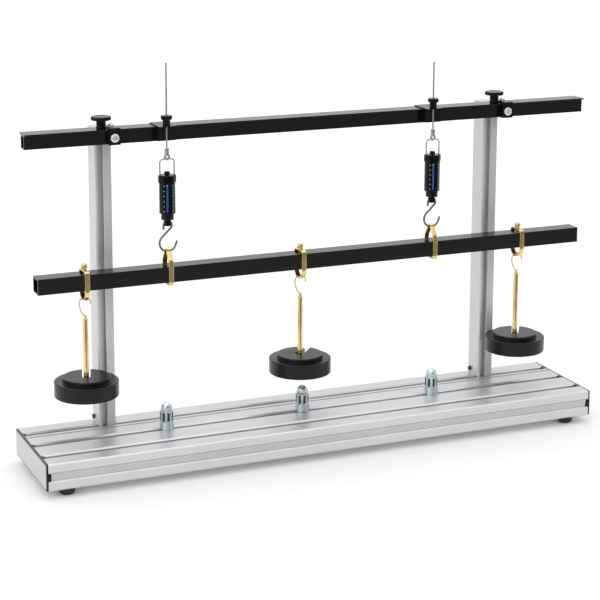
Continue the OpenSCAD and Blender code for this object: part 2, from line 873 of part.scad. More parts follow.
// A block on the rod's end, with a window below it and an eye for the bail
module clevis(x) {
    eye_r = bail_wire_d / 2 + hole_gap;
    window_low_z = bail_bar_z + eye_r + slider_t;
    block_z = rod_low_z + clevis_top_h / 2 - clevis_top_h;
    color(steel)
        difference() {
            along_y(hang_y - clevis_d / 2, hang_y + clevis_d / 2) {
                translate([x - clevis_top_w / 2, block_z - slider_t])
                    square([clevis_top_w, clevis_top_h + slider_t]);
                translate([x - clevis_w / 2, clevis_low_z])
                    square([clevis_w, block_z - clevis_low_z]);
            }
            translate([x, hang_y, rod_low_z])
                cylinder(h = clevis_top_h, d = rod_d + 2 * run_gap);
            translate([x - clevis_w / 2 - cut, hang_y, bail_bar_z])
                rotate([0, 90, 0])
                    cylinder(h = clevis_w + 2 * cut, r = eye_r);
            translate([x - window_w / 2, hang_y - clevis_d / 2 - cut, window_low_z])
                cube([window_w, clevis_d + 2 * cut, block_z - slider_t - window_low_z]);
        }
}

module clevis_left() {
    clevis(balance_left_x);
}

module clevis_right() {
    clevis(balance_right_x);
}

// A curved wire in the X-Z plane, from the angle first over the angle sweep, counted from +X towards +Z
module wire_turn(x, z, radius, wire_d, first, sweep) {
    translate([x, hang_y, z])
        rotate([90, 0, 0])
            rotate([0, 0, first])
                rotate_extrude(angle = sweep)
                    translate([radius, 0])
                        circle(d = wire_d, $fn = 32);
}

// A straight wire in the X-Z plane from (x, z) over a length, leaning from upright towards +X
module wire_line(x, z, length, lean, wire_d) {
    translate([x, hang_y, z])
        rotate([0, lean, 0])
            cylinder(h = length, d = wire_d, $fn = 32);
}

module bail(x) {
    half = bail_w / 2;
    leg_h = bail_depth + bail_h - bail_r;
    color(steel) {
        for (side = [-1, 1])
            wire_line(x + side * half, balance_top_z - bail_depth, leg_h, 0, bail_wire_d);
        wire_turn(x + half - bail_r, bail_bar_z - bail_r, bail_r, bail_wire_d, 0, 90);
        wire_turn(x - half + bail_r, bail_bar_z - bail_r, bail_r, bail_wire_d, 90, 90);
        wire_line(x - half + bail_r, bail_bar_z, bail_w - 2 * bail_r, 90, bail_wire_d);
    }
}

module bail_left() {
    bail(balance_left_x);
}

module bail_right() {
    bail(balance_right_x);
}

module balance_body(x) {
    color(black)
        difference() {
            turned(x, hang_y)
                difference() {
                    union() {
                        band(step_d / 2, step_z, balance_top_z);
                        band(body_d / 2, body_z, balance_top_z);
                        band(collar_d / 2, collar_z, balance_top_z);
                    }
                    band(neck_bore_d / 2, step_z - cut, neck_bore_z);
                    band(plunger_rod_d / 2 + run_gap, step_z, spring_floor_z + cut);
                    band(body_bore_d / 2, spring_floor_z, body_bore_z);
                    band(zero_stem_d / 2 + run_gap, body_bore_z - cut, balance_top_z + cut);
                }
            for (side = [-1, 1])
                wire_line(x + side * bail_w / 2, balance_top_z - bail_depth, bail_depth + cut, 0,
                    bail_wire_d + 2 * run_gap);
            translate([x, hang_y, body_z + (body_h - strip_l) / 2])
                rotate(-strip_turn)
                    translate([-strip_w / 2, -body_d / 2 - cut, 0])
                        cube([strip_w, cut + strip_t, strip_l]);
        }
}

module balance_body_left() {
    balance_body(balance_left_x);
}

module balance_body_right() {
    balance_body(balance_right_x);
}

module zero_knob(x) {
    color(black)
        turned(x, hang_y) {
            band(zero_stem_d / 2, body_bore_z, balance_top_z + zero_knob_h);
            band(zero_knob_d / 2, balance_top_z + side_gap, balance_top_z + zero_knob_h);
        }
}

module zero_knob_left() {
    zero_knob(balance_left_x);
}

module zero_knob_right() {
    zero_knob(balance_right_x);
}

// The strip lies in a groove and is as round as the body
module scale_strip(x) {
    strip_z = body_z + (body_h - strip_l) / 2;
    color("blue")
        intersection() {
            turned(x, hang_y)
                band(body_d / 2, strip_z, strip_z + strip_l);
            translate([x, hang_y, strip_z])
                rotate(-strip_turn)
                    translate([-strip_w / 2, -body_d / 2 - cut, 0])
                        cube([strip_w, cut + strip_t, strip_l]);
        }
}

module scale_strip_left() {
    scale_strip(balance_left_x);
}

module scale_strip_right() {
    scale_strip(balance_right_x);
}

// One unbroken tube wound as a helix between the body's floor and the washer
module balance_spring(x) {
    rings_each = 8;
    sides = 6;
    rings = spring_curls * rings_each;
    wire_r = spring_wire_d / 2;
    low_z = spring_floor_z + wire_r;
    rise = washer_z - wire_r - low_z;
    points = [for (i = [0 : rings]) for (j = [0 : sides - 1])
        let (turn = i * 360 / rings_each, lean = j * 360 / sides, r = spring_d / 2 + wire_r * cos(lean))
        [x + r * cos(turn), hang_y + r * sin(turn), low_z + rise * i / rings + wire_r * sin(lean)]];
    walls = [for (i = [0 : rings - 1]) for (j = [0 : sides - 1])
        let (a = i * sides + j, b = i * sides + (j + 1) % sides)
        [a, a + sides, b + sides, b]];
    first = [for (j = [0 : sides - 1]) j];
    last = [for (j = [0 : sides - 1]) rings * sides + sides - 1 - j];
    echo(least_gap_to_itself = rise / spring_curls - spring_wire_d);
    color(steel)
        polyhedron(points = points, faces = concat(walls, [first, last]));
}

module balance_spring_left() {
    balance_spring(balance_left_x);
}

module balance_spring_right() {
    balance_spring(balance_right_x);
}

// Rod, washer and neck in one, and a pin across the neck's slot
module plunger(x) {
    color(black) {
        difference() {
            turned(x, hang_y) {
                band(neck_d / 2, neck_low_z, neck_low_z + neck_d / 2);
                band(waist_d / 2, neck_low_z, step_z + side_gap);
                band(neck_d / 2, step_z - side_gap, step_z + neck_in);
                band(plunger_rod_d / 2, neck_low_z, washer_z + washer_t);
                band(washer_d / 2, washer_z, washer_z + washer_t);
            }
            translate([x - neck_d, hang_y - hook_wire_d / 2 - side_gap, neck_low_z - cut])
                cube([2 * neck_d, hook_wire_d + 2 * side_gap, neck_pin_z + neck_pin_d / 2 + hook_wire_d
                    + 2 * side_gap - neck_low_z + cut]);
        }
        translate([x, hang_y - neck_d / 2 + slider_t, neck_pin_z])
            rotate([-90, 0, 0])
                cylinder(h = neck_d - 2 * slider_t, d = neck_pin_d);
    }
}

module plunger_left() {
    plunger(balance_left_x);
}

module plunger_right() {
    plunger(balance_right_x);
}

module s_hook(x) {
    joint_x = hook_low_r * cos(hook_lean) + cut * sin(hook_lean);
    joint_z = hook_low_r * sin(hook_lean) - cut * cos(hook_lean);
    straight_l = hook_span * cos(hook_lean) + 2 * cut;
    tip_x = hook_low_r * cos(tip_lean) - cut * sin(tip_lean);
    tip_z = hook_low_r * sin(tip_lean) + cut * cos(tip_lean);
    color(steel) {
        wire_turn(x, hook_top_z, hook_top_r, hook_wire_d, -hook_lean, 180 + hook_lean);
        wire_line(x - hook_top_r, hook_top_z - hook_upper_tip_l, hook_upper_tip_l, 0, hook_wire_d);
        wire_line(x - joint_x, hook_low_z + joint_z, straight_l, hook_lean, hook_wire_d - weld);
        wire_turn(x, hook_low_z, hook_low_r, hook_wire_d, 180 - hook_lean, 180 + hook_lean - tip_lean);
        wire_line(x + tip_x, hook_low_z - tip_z, hook_lower_tip_l + cut, tip_lean, hook_wire_d - weld);
    }
}

module s_hook_left() {
    s_hook(balance_left_x);
}

module s_hook_right() {
    s_hook(balance_right_x);
}

module beam() {
    color(black)
        along_x(beam_l, beam_x)
            translate([hang_y - beam_w / 2, beam_z])
                difference() {
                    square([beam_w, beam_h]);
                    translate([beam_wall, beam_wall])
                        square([beam_w - 2 * beam_wall, beam_h - 2 * beam_wall]);
                }
}

// A rectangle of half width wide with its lower or upper corners rounded
module rounded_end(wide, low, high, radius, upper) {
    end_z = upper ? high - radius : low + radius;
    translate([-wide, upper ? low : end_z])
        square([2 * wide, high - low - radius]);
    translate([radius - wide, low])
        square([2 * (wide - radius), high - low]);
    for (side = [-1, 1])
        translate([side * (wide - radius), end_z])
            circle(r = radius);
}

// The outline of a hanging stirrup, grown by a wall
module loop_shape(grow) {
    wide = stirrup_half + grow;
    slim = loop_half + grow;
    translate([hang_y, 0]) {
        rounded_end(wide, beam_z - strap_room - grow, loop_shoulder_z, strap_room + grow, false);
        polygon([[-wide, loop_shoulder_z - cut], [wide, loop_shoulder_z - cut], [wide, loop_shoulder_z],
            [slim, loop_arch_z], [-slim, loop_arch_z], [-wide, loop_shoulder_z]]);
        translate([0, loop_arch_z])
            circle(r = slim);
    }
}

module hanging_stirrup(x) {
    color(brass)
        along_x(strap_w, x)
            difference() {
                loop_shape(strap_t);
                loop_shape(0);
            }
}

module hanging_stirrup_left() {
    hanging_stirrup(balance_left_x);
}

module hanging_stirrup_right() {
    hanging_stirrup(balance_right_x);
}

// The outline of a weight stirrup, grown by a wall
module stirrup_shape(grow) {
    wide = stirrup_half + grow;
    translate([hang_y, 0]) {
        rounded_end(wide, stirrup_round_z, strap_top_z + grow, strap_room + grow, true);
        translate([0, stirrup_round_z])
            circle(r = wide);
    }
}

module weight_stirrup(x) {
    color(brass)
        difference() {
            along_x(strap_w, x)
                difference() {
                    stirrup_shape(strap_t);
                    stirrup_shape(0);
                }
            translate([x, hang_y, strap_top_z - cut])
                cylinder(h = strap_t + 2 * cut, d = screw_shank_d + 2 * run_gap);
        }
}

module weight_stirrup_left() {
    weight_stirrup(weight_left_x);
}

module weight_stirrup_middle() {
    weight_stirrup(weight_middle_x);
}

module weight_stirrup_right() {
    weight_stirrup(weight_right_x);
}

module stirrup_screw(x) {
    head_z = strap_top_z + strap_t;
    color(brass)
        turned(x, hang_y)
            intersection() {
                union() {
                    translate([0, head_z + screw_head_h - screw_head_d / 2])
                        circle(d = screw_head_d);
                    band(screw_shank_d / 2, beam_top_z + side_gap, head_z + screw_head_h / 2);
                }
                union() {
                    band(screw_shank_d / 2, beam_top_z + side_gap, head_z + side_gap);
                    band(screw_head_d, head_z, head_z + screw_head_h);
                }
            }
}

module stirrup_screw_left() {
    stirrup_screw(weight_left_x);
}

module stirrup_screw_middle() {
    stirrup_screw(weight_middle_x);
}

module stirrup_screw_right() {
    stirrup_screw(weight_right_x);
}

// A hook that is open at its lower right, the rod under it, and the disc that carries the weight
// The hook is a half turn that runs on in a longer curve, which ends in the rod's ball
module hanger(x, length) {
    low_angle = acos(1 - ring_r / ring_low_r);
    overrun = 2;
    color(brass) {
        wire_turn(x, ring_z, ring_r, ring_wire_d, -15, 195);
        wire_turn(x - ring_r + ring_low_r, ring_z, ring_low_r, ring_wire_d - weld, 180 - overrun,
            low_angle + 2 * overrun);
        turned(x, hang_y) {
            band(hanger_rod_d / 2, hanger_top_z - length - hanger_disc_t, hanger_top_z - ring_wire_d);
            translate([0, hanger_top_z - ring_wire_d])
                intersection() {
                    circle(d = rivet_d + ring_wire_d);
                    square([rivet_d, rivet_d]);
                }
            band(hanger_disc_d / 2, hanger_top_z - length - hanger_disc_t, hanger_top_z - length);
        }
    }
}

module hanger_left() {
    hanger(weight_left_x, hanger_left_l);
}

module hanger_middle() {
    hanger(weight_middle_x, hanger_middle_l);
}

module hanger_right() {
    hanger(weight_right_x, hanger_right_l);
}

// A disc with a raised middle and chamfered edges, open to its centre by a slot
module slotted_weight(x, length, turn) {
    low_z = hanger_top_z - length + side_gap;
    rim_z = low_z + weight_rim_h;
    top_z = rim_z + weight_boss_h;
    color(black)
        difference() {
            turned(x, hang_y)
                polygon([[0, low_z], [weight_d / 2 - weight_chamfer, low_z],
                    [weight_d / 2, low_z + weight_chamfer], [weight_d / 2, rim_z - weight_chamfer],
                    [weight_d / 2 - weight_chamfer, rim_z], [weight_boss_d / 2, rim_z],
                    [weight_boss_d / 2, top_z - weight_chamfer], [weight_boss_d / 2 - weight_chamfer, top_z],
                    [0, top_z]]);
            translate([x, hang_y, low_z - cut]) {
                cylinder(h = weight_rim_h + weight_boss_h + 2 * cut, d = weight_bore_d);
                rotate(turn)
                    translate([0, -weight_slot_w / 2, 0])
                        cube([weight_d / 2 + cut, weight_slot_w, weight_rim_h + weight_boss_h + 2 * cut]);
            }
        }
}

module weight_left() {
    slotted_weight(weight_left_x, hanger_left_l, weight_left_turn);
}

module weight_middle() {
    slotted_weight(weight_middle_x, hanger_middle_l, weight_middle_turn);
}

module weight_right() {
    slotted_weight(weight_right_x, hanger_right_l, weight_right_turn);
}

// A foot for the slot, a plain band, a fluted body and a round top
module peg(x) {
    body_z = peg_z + peg_band_h;
    top_z = body_z + peg_body_h;
    round_z = top_z + peg_top_d / 4;
    flutes = 8;
    flute_r = peg_body_d / flutes;
    color(steel) {
        translate([x - peg_foot_w / 2, -peg_foot_w / 2, peg_foot_z])
            cube([peg_foot_w, peg_foot_w, peg_foot_h]);
        difference() {
            turned(x, 0) {
                band(plug_w / 2, peg_foot_z, top_z);
                band(peg_band_d / 2, peg_z, body_z);
                band(peg_body_d / 2, peg_z, top_z);
                intersection() {
                    translate([0, round_z])
                        circle(d = peg_top_d);
                    band(peg_top_d, top_z - cut, round_z + peg_top_d);
                }
            }
            for (i = [0 : flutes - 1])
                translate([x, 0, body_z])
                    rotate(i * 360 / flutes)
                        translate([peg_body_d / 2 + flute_r / 2, 0, 0])
                            cylinder(h = peg_body_h + cut, r = flute_r, $fn = 32);
        }
    }
}

module peg_left() {
    peg(peg_left_x);
}

module peg_middle() {
    peg(peg_middle_x);
}

module peg_right() {
    peg(peg_right_x);
}

base_profile();
end_plates();
end_covers();
slot_strip();
feet();
upright_left();
upright_right();
upright_caps();
foot_bolts();
crossbar();
clamp_blocks();
clamp_arms();
clamp_jaws();
clamp_screws();
clamp_nuts();
clamp_knob_left();
clamp_knob_right();
slider_left();
slider_right();
lift_nut_left();
lift_nut_right();
lift_rod_left();
lift_rod_right();
clevis_left();
clevis_right();
bail_left();
bail_right();
balance_body_left();
balance_body_right();
zero_knob_left();
zero_knob_right();
scale_strip_left();
scale_strip_right();
balance_spring_left();
balance_spring_right();
plunger_left();
plunger_right();
s_hook_left();
s_hook_right();
beam();
hanging_stirrup_left();
hanging_stirrup_right();
weight_stirrup_left();
weight_stirrup_middle();
weight_stirrup_right();
stirrup_screw_left();
stirrup_screw_middle();
stirrup_screw_right();
hanger_left();
hanger_middle();
hanger_right();
weight_left();
weight_middle();
weight_right();
peg_left();
peg_middle();
peg_right();
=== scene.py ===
"""Dresses a lever beam apparatus: its finishes, its turned and bent small pieces, its light and camera.

All sizes in the classes are millimetres in the model's own frame. They become metres when a mesh is made.
"""

import logging
import math
from dataclasses import dataclass, field
from enum import Enum

import bmesh
import bpy
import numpy as np
from mathutils import Matrix, Vector

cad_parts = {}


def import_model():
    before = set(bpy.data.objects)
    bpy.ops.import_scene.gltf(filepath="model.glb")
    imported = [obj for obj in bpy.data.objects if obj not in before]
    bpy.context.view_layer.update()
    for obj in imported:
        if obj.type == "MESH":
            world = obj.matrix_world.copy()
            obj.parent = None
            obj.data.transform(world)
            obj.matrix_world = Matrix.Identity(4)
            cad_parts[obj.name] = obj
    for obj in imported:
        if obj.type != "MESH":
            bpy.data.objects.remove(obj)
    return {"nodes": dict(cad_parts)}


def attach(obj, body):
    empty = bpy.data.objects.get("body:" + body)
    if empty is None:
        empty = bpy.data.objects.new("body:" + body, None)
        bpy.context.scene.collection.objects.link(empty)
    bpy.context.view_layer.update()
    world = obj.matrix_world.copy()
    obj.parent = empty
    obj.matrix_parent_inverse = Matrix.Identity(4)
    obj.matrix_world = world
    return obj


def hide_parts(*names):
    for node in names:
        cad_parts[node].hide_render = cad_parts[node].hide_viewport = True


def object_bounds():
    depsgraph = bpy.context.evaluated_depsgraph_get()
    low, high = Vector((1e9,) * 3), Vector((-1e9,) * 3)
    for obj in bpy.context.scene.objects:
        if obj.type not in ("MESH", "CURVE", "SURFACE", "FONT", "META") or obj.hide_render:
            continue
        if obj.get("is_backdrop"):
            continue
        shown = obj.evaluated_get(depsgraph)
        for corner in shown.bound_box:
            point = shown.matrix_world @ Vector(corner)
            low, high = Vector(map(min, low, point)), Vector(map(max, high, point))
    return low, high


LOG = logging.getLogger("lever_beam")
Span = tuple[float, float]
# One millimetre in metres
MM = 0.001
# Y of the upright plane that the balances, the beam and the weights hang in
HANG_Y = -3.0
# Normals of the planes that strips and wires are bent in
ALONG_BEAM = (1.0, 0.0, 0.0)
THROUGH_PLANE = (0.0, 1.0, 0.0)
# Distances in metres at which points of a mesh are joined and slivers are removed
JOIN_M = 2e-6
SLIVER_M = 1e-7
# Share of the noise at which a finish is all dark and all light, and at which it is glossiest and dullest
TONE_SPAN = (0.32, 0.68)
GLOSS_SPAN = (0.3, 0.7)


class Side(Enum):
    """The two spring balances and uprights."""

    LEFT = "left"
    RIGHT = "right"


class Place(Enum):
    """The three weights and the three pegs."""

    LEFT = "left"
    MIDDLE = "middle"
    RIGHT = "right"


# Places along X of the balances and the pegs, and along X and Z of the weights' discs
BALANCE_X = {Side.LEFT: -229.0, Side.RIGHT: 195.0}
PEG_X = {Place.LEFT: -233.0, Place.MIDDLE: -17.0, Place.RIGHT: 201.0}
WEIGHT_PLACES = {Place.LEFT: (-354.0, 107.0), Place.MIDDLE: (-22.0, 103.0), Place.RIGHT: (346.0, 96.0)}


class Grain(Enum):
    """Sizes in mm, along X, Y and Z, of the streaks or specks that a making process leaves."""

    ALONG_X = (260.0, 1.6, 1.6)
    ALONG_Z = (1.6, 1.6, 260.0)
    EVEN = (2.2, 2.2, 2.2)
    FINE = (0.7, 0.7, 0.7)
    CLOUDY = (9.0, 9.0, 9.0)


def linear(code: str) -> tuple[float, float, float, float]:
    """Turns an sRGB hex colour into linear RGBA.

    Args:
        code: Colour such as "#c9cacc".

    Returns:
        Linear red, green, blue and alpha, from c = ((s + 0.055) / 1.055) ** 2.4 above the toe.
    """
    parts = [int(code[i:i + 2], 16) / 255.0 for i in (1, 3, 5)]
    toned = [p / 12.92 if p <= 0.04045 else ((p + 0.055) / 1.055) ** 2.4 for p in parts]
    return (toned[0], toned[1], toned[2], 1.0)


WHITE = linear("#ffffff")


def add_node(tree: bpy.types.NodeTree, kind: str, settings: dict | None = None,
             links: dict | None = None) -> bpy.types.Node:
    """Adds one shader node.

    Args:
        tree: Node tree that takes the node.
        kind: Node type name.
        settings: Values for inputs (by name or number) or for properties.
        links: Output sockets to join to inputs (by name or number).

    Returns:
        The new node.
    """
    node = tree.nodes.new(kind)
    for key, value in (settings or {}).items():
        if isinstance(key, str) and hasattr(node, key):
            setattr(node, key, value)
        else:
            node.inputs[key].default_value = value
    for key, socket in (links or {}).items():
        tree.links.new(socket, node.inputs[key])
    return node


def soft_span(values: Span, results: Span = (0.0, 1.0)) -> dict[str, str | float]:
    """Settings that map one span of values softly onto another."""
    return {"interpolation_type": "SMOOTHSTEP", "From Min": values[0], "From Max": values[1],
            "To Min": results[0], "To Max": results[1]}


@dataclass(frozen=True)
class Finish:
    """A finish whose tone and gloss follow the mean of a stretched noise and a slow cloud.

    The stretched noise alone gives its relief. Where edge_mm is set, edges shade as if rounded by that much.
    """

    name: str
    light: str
    dark: str
    metallic: float
    roughness: float
    grain: Grain
    rough_spread: float = 0.08
    relief_mm: float = 0.01
    cloud_mm: float = 60.0
    ior: float = 1.5
    specular: float = 0.5
    edge_mm: float = 0.0

    def make(self) -> bpy.types.Material:
        """Builds the node material once.

        Returns:
            The material, also where it was made before.
        """
        known = bpy.data.materials.get(self.name)
        if known:
            return known
        material = bpy.data.materials.new(self.name)
        material.use_nodes = True
        tree = material.node_tree
        shader = tree.nodes["Principled BSDF"]
        place = add_node(tree, "ShaderNodeTexCoord").outputs["Object"]
        scale = tuple(1.0 / (size * MM) for size in self.grain.value)
        stretched = add_node(tree, "ShaderNodeMapping", {"Scale": scale}, {"Vector": place})
        grain = add_node(tree, "ShaderNodeTexNoise", {"Scale": 1.0, "Detail": 4.0, "Roughness": 0.6},
                         {"Vector": stretched.outputs[0]})
        cloud = add_node(tree, "ShaderNodeTexNoise", {"Scale": 1.0 / (self.cloud_mm * MM), "Detail": 3.0},
                         {"Vector": place})
        both = add_node(tree, "ShaderNodeMath", {"operation": "ADD"},
                        {0: grain.outputs[0], 1: cloud.outputs[0]})
        half = add_node(tree, "ShaderNodeMath", {"operation": "MULTIPLY", 1: 0.5}, {0: both.outputs[0]})
        ramp = add_node(tree, "ShaderNodeValToRGB", {}, {0: half.outputs[0]})
        for stop, share, tone in zip(ramp.color_ramp.elements, TONE_SPAN, (self.dark, self.light)):
            stop.position, stop.color = share, linear(tone)
        gloss = add_node(tree, "ShaderNodeMapRange",
                         {"From Min": GLOSS_SPAN[0], "From Max": GLOSS_SPAN[1],
                          "To Min": max(0.02, self.roughness - self.rough_spread),
                          "To Max": self.roughness + self.rough_spread}, {"Value": half.outputs[0]})
        relief = add_node(tree, "ShaderNodeBump", {"Strength": 1.0, "Distance": self.relief_mm * MM},
                          {"Height": grain.outputs[0]})
        if self.edge_mm > 0.0:
            worn = add_node(tree, "ShaderNodeBevel", {"samples": 6, "Radius": self.edge_mm * MM})
            tree.links.new(worn.outputs[0], relief.inputs["Normal"])
        tree.links.new(ramp.outputs[0], shader.inputs["Base Color"])
        tree.links.new(gloss.outputs[0], shader.inputs["Roughness"])
        tree.links.new(relief.outputs[0], shader.inputs["Normal"])
        shader.inputs["Metallic"].default_value = self.metallic
        if self.metallic == 0.0:
            shader.inputs["IOR"].default_value = self.ior
            shader.inputs["Specular IOR Level"].default_value = self.specular
        return material


# Extruded and anodised aluminium: a soft satin with die lines along the profile, duller on the uprights
ALUMINIUM_X = Finish("extruded_aluminium_along", "#dbdbdd", "#cfcfd1", 0.55, 0.34, Grain.ALONG_X, 0.05, 0.004)
ALUMINIUM_Z = Finish("extruded_aluminium_upright", "#d8d9da", "#cccdce", 0.32, 0.32, Grain.ALONG_Z, 0.05,
                     0.004)
# The strip in the front slot: the same aluminium painted a shade darker, as painted shade for its place
# deeper in the slot
SHADED_STRIP_ALUMINIUM = Finish("recessed_strip_painted_shade", "#c9cacc", "#bfc0c2", 0.45, 0.38, Grain.ALONG_X, 0.05,
                         0.003)
# A milled cover plate: paler and duller than the profile
MILLED_ALUMINIUM = Finish("milled_aluminium_cover", "#cfd0d1", "#c3c4c5", 0.6, 0.42, Grain.FINE, 0.06, 0.004)
# Black lacquer over drawn steel tube: nearly black face on, mirror-like at a low angle
BLACK_TUBE = Finish("black_lacquered_tube", "#0d0d0f", "#09090a", 0.0, 0.18, Grain.ALONG_X, 0.04, 0.003,
                    edge_mm=0.6)
# Black oxide on small steel pieces: a thin dark film, shaded as a dielectric, with a soft satin shine
BLACK_OXIDE = Finish("black_oxide_steel", "#101011", "#0a0a0b", 0.0, 0.24, Grain.FINE, 0.07, 0.005,
                     specular=0.35)
# Moulded phenolic for the knobs, nuts and end plates: a deep black with a soft, narrow shine
PHENOLIC = Finish("moulded_phenolic", "#0c0c0d", "#070708", 0.0, 0.20, Grain.EVEN, 0.06, 0.005, specular=0.25)
# Glossy moulded plastic on the balances: the blackest piece, with small sharp highlights
BALANCE_PLASTIC = Finish("gloss_moulded_plastic", "#060708", "#040405", 0.0, 0.13, Grain.EVEN, 0.04, 0.003,
                         specular=0.22)
# Semi-gloss enamel over turned iron: fine orange peel, and edges that the enamel rounds softly
ENAMELLED_IRON = Finish("enamelled_iron", "#0f0f0f", "#080808", 0.0, 0.26, Grain.EVEN, 0.09, 0.014, 30.0,
                        specular=0.28, edge_mm=1.3)
# Moulded rubber: matt and slightly grey
FOOT_RUBBER = Finish("foot_rubber", "#1c1c1c", "#121212", 0.0, 0.62, Grain.FINE, 0.08, 0.015)
# Polished brass strip, wire and rod: pale gold with a clear reflection
BRASS = Finish("polished_brass", "#efd9a2", "#d8b972", 1.0, 0.11, Grain.EVEN, 0.03, 0.0015, 14.0)
# Bright zinc on the pegs and nuts: cold and slightly blue
ZINC = Finish("bright_zinc", "#dfe7ea", "#bccad0", 0.75, 0.17, Grain.CLOUDY, 0.08, 0.004, 12.0)
# Pan heads on the brackets: a paler, less metallic copy of the nickel, painted light so that they look bright
# even where they face the dim front of the room
LIT_SCREW_NICKEL = Finish("screw_nickel_painted_light", "#f1f2f3", "#dfe1e3", 0.45, 0.18, Grain.FINE, 0.05, 0.003, 6.0)
# Painted shade in the flutes: a dark bluish zinc that stands in for the dark look of the deep flutes
FLUTE_SHADE_ZINC = Finish("flute_painted_shade", "#55636b", "#333e45", 0.9, 0.28, Grain.CLOUDY, 0.08, 0.004, 6.0)
# Drawn steel wire, grey from its lime soap
STEEL_WIRE = Finish("drawn_steel_wire", "#918d88", "#76726d", 1.0, 0.30, Grain.FINE, 0.08, 0.004, 10.0)
# Nickel plate on the clevis, bail, rods and springs: warm grey, less bright than the screws
NICKEL = Finish("nickel_plate", "#c9c8c6", "#b2b0ae", 1.0, 0.22, Grain.FINE, 0.06, 0.003, 12.0)
# Blue lacquer on the scale strips and white print beside them: a faint mottle and hardly any relief
BLUE_STRIP = Finish("blue_scale_lacquer", "#2362a6", "#164c8c", 0.0, 0.30, Grain.FINE, 0.05, 0.002)
WHITE_PRINT = Finish("white_scale_print", "#e6ebf0", "#cfd6de", 0.0, 0.45, Grain.FINE, 0.05, 0.002)


@dataclass
class Surface:
    """A grid of points, closed over its rows or columns where stated."""

    points: np.ndarray
    wrap_rows: bool = False
    wrap_cols: bool = False

    def faces(self, first: int) -> np.ndarray:
        """Quads (i, j), (i, j + 1), (i + 1, j + 1), (i + 1, j) of the grid.

        Args:
            first: Number of the grid's first point in the whole mesh.

        Returns:
            An array of four point numbers for each quad.
        """
        rows, cols = self.points.shape[:2]
        i = np.arange(rows if self.wrap_rows else rows - 1)[:, None]
        j = np.arange(cols if self.wrap_cols else cols - 1)[None, :]
        i2, j2 = (i + 1) % rows, (j + 1) % cols
        quads = np.stack([i * cols + j, i * cols + j2, i2 * cols + j2, i2 * cols + j], axis=-1)
        return quads.reshape(-1, 4) + first


def make_piece(name: str, surfaces: list[Surface], finish: Finish, body: str,
               stands_for: tuple[str, ...] = (), sharp_deg: float = 34.0) -> bpy.types.Object:
    """Joins grids into one mesh with outward faces and sharp edges over an angle.

    Args:
        name: Name of the object.
        surfaces: Grids in millimetres.
        finish: Finish of the piece.
        body: Body that the piece moves with.
        stands_for: CAD nodes that the piece replaces.
        sharp_deg: Angle between faces from which an edge is drawn sharp.

    Returns:
        The new object.
    """
    points, quads, first = [], [], 0
    for surface in surfaces:
        points.append(surface.points.reshape(-1, 3))
        quads.append(surface.faces(first))
        first += points[-1].shape[0]
    mesh = bpy.data.meshes.new(name)
    mesh.from_pydata((np.concatenate(points) * MM).tolist(), [], np.concatenate(quads).tolist())
    build = bmesh.new()
    build.from_mesh(mesh)
    bmesh.ops.remove_doubles(build, verts=build.verts, dist=JOIN_M)
    bmesh.ops.dissolve_degenerate(build, edges=build.edges, dist=SLIVER_M)
    bmesh.ops.recalc_face_normals(build, faces=build.faces)
    limit = math.radians(sharp_deg)
    for edge in build.edges:
        edge.smooth = len(edge.link_faces) != 2 or edge.calc_face_angle(0.0) < limit
    for face in build.faces:
        face.smooth = True
    build.to_mesh(mesh)
    build.free()
    piece = bpy.data.objects.new(name, mesh)
    bpy.context.scene.collection.objects.link(piece)
    mesh.materials.append(finish.make())
    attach(piece, body)
    if stands_for:
        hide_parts(*stands_for)
    LOG.info("%s: %d faces on %s", name, len(mesh.polygons), body)
    return piece


def dress(finish: Finish, *names: str) -> None:
    """Gives CAD nodes a finish.

    Args:
        finish: Finish to use.
        names: Nodes that take it.
    """
    for name in names:
        for slot in FRAME["nodes"][name].material_slots:
            slot.material = finish.make()
        LOG.info("%s: dressed in %s", name, finish.name)


def filleted(corners: list[tuple[float, float]], size: float, closed: bool = False,
             steps: int = 5) -> np.ndarray:
    """Rounds the corners of an outline with P(t) = (1-t)^2 A + 2t(1-t) C + t^2 B around each corner C.

    Args:
        corners: Corner points.
        size: Distance of A and B from the corner, at most 0.45 of each side.
        closed: Whether the outline returns to its start.
        steps: Points on each rounding.

    Returns:
        The points of the outline.
    """
    pts = np.array(corners, dtype=float)
    count = len(pts)
    out = []
    for i, corner in enumerate(pts):
        if not closed and i in (0, count - 1):
            out.append(corner[None])
            continue
        before, after = pts[i - 1] - corner, pts[(i + 1) % count] - corner
        len_a, len_b = np.linalg.norm(before), np.linalg.norm(after)
        start = corner + before / len_a * min(size, 0.45 * len_a)
        end = corner + after / len_b * min(size, 0.45 * len_b)
        t = np.linspace(0.0, 1.0, steps)[:, None]
        out.append((1 - t) ** 2 * start + 2 * t * (1 - t) * corner + t ** 2 * end)
    return np.concatenate(out)


def turned(profile: np.ndarray, x: float, y: float, sides: int = 72, ripple: np.ndarray | None = None,
           closed: bool = False) -> Surface:
    """Turns a profile: p(i, a) = (x + r_i k(i, a) cos a, y + r_i k(i, a) sin a, z_i).

    Args:
        profile: Radii and heights.
        x: Axis in X.
        y: Axis in Y.
        sides: Points around.
        ripple: Factors k of the radius, one row for each profile point.
        closed: Whether the profile returns to its start.

    Returns:
        The turned grid.
    """
    angle = np.linspace(0.0, 2.0 * math.pi, sides, endpoint=False)[None, :]
    radius = profile[:, 0:1] * (np.ones_like(angle) if ripple is None else ripple)
    height = np.broadcast_to(profile[:, 1:2], radius.shape)
    grid = np.stack([x + radius * np.cos(angle), y + radius * np.sin(angle), height], axis=-1)
    return Surface(grid, wrap_rows=closed, wrap_cols=True)


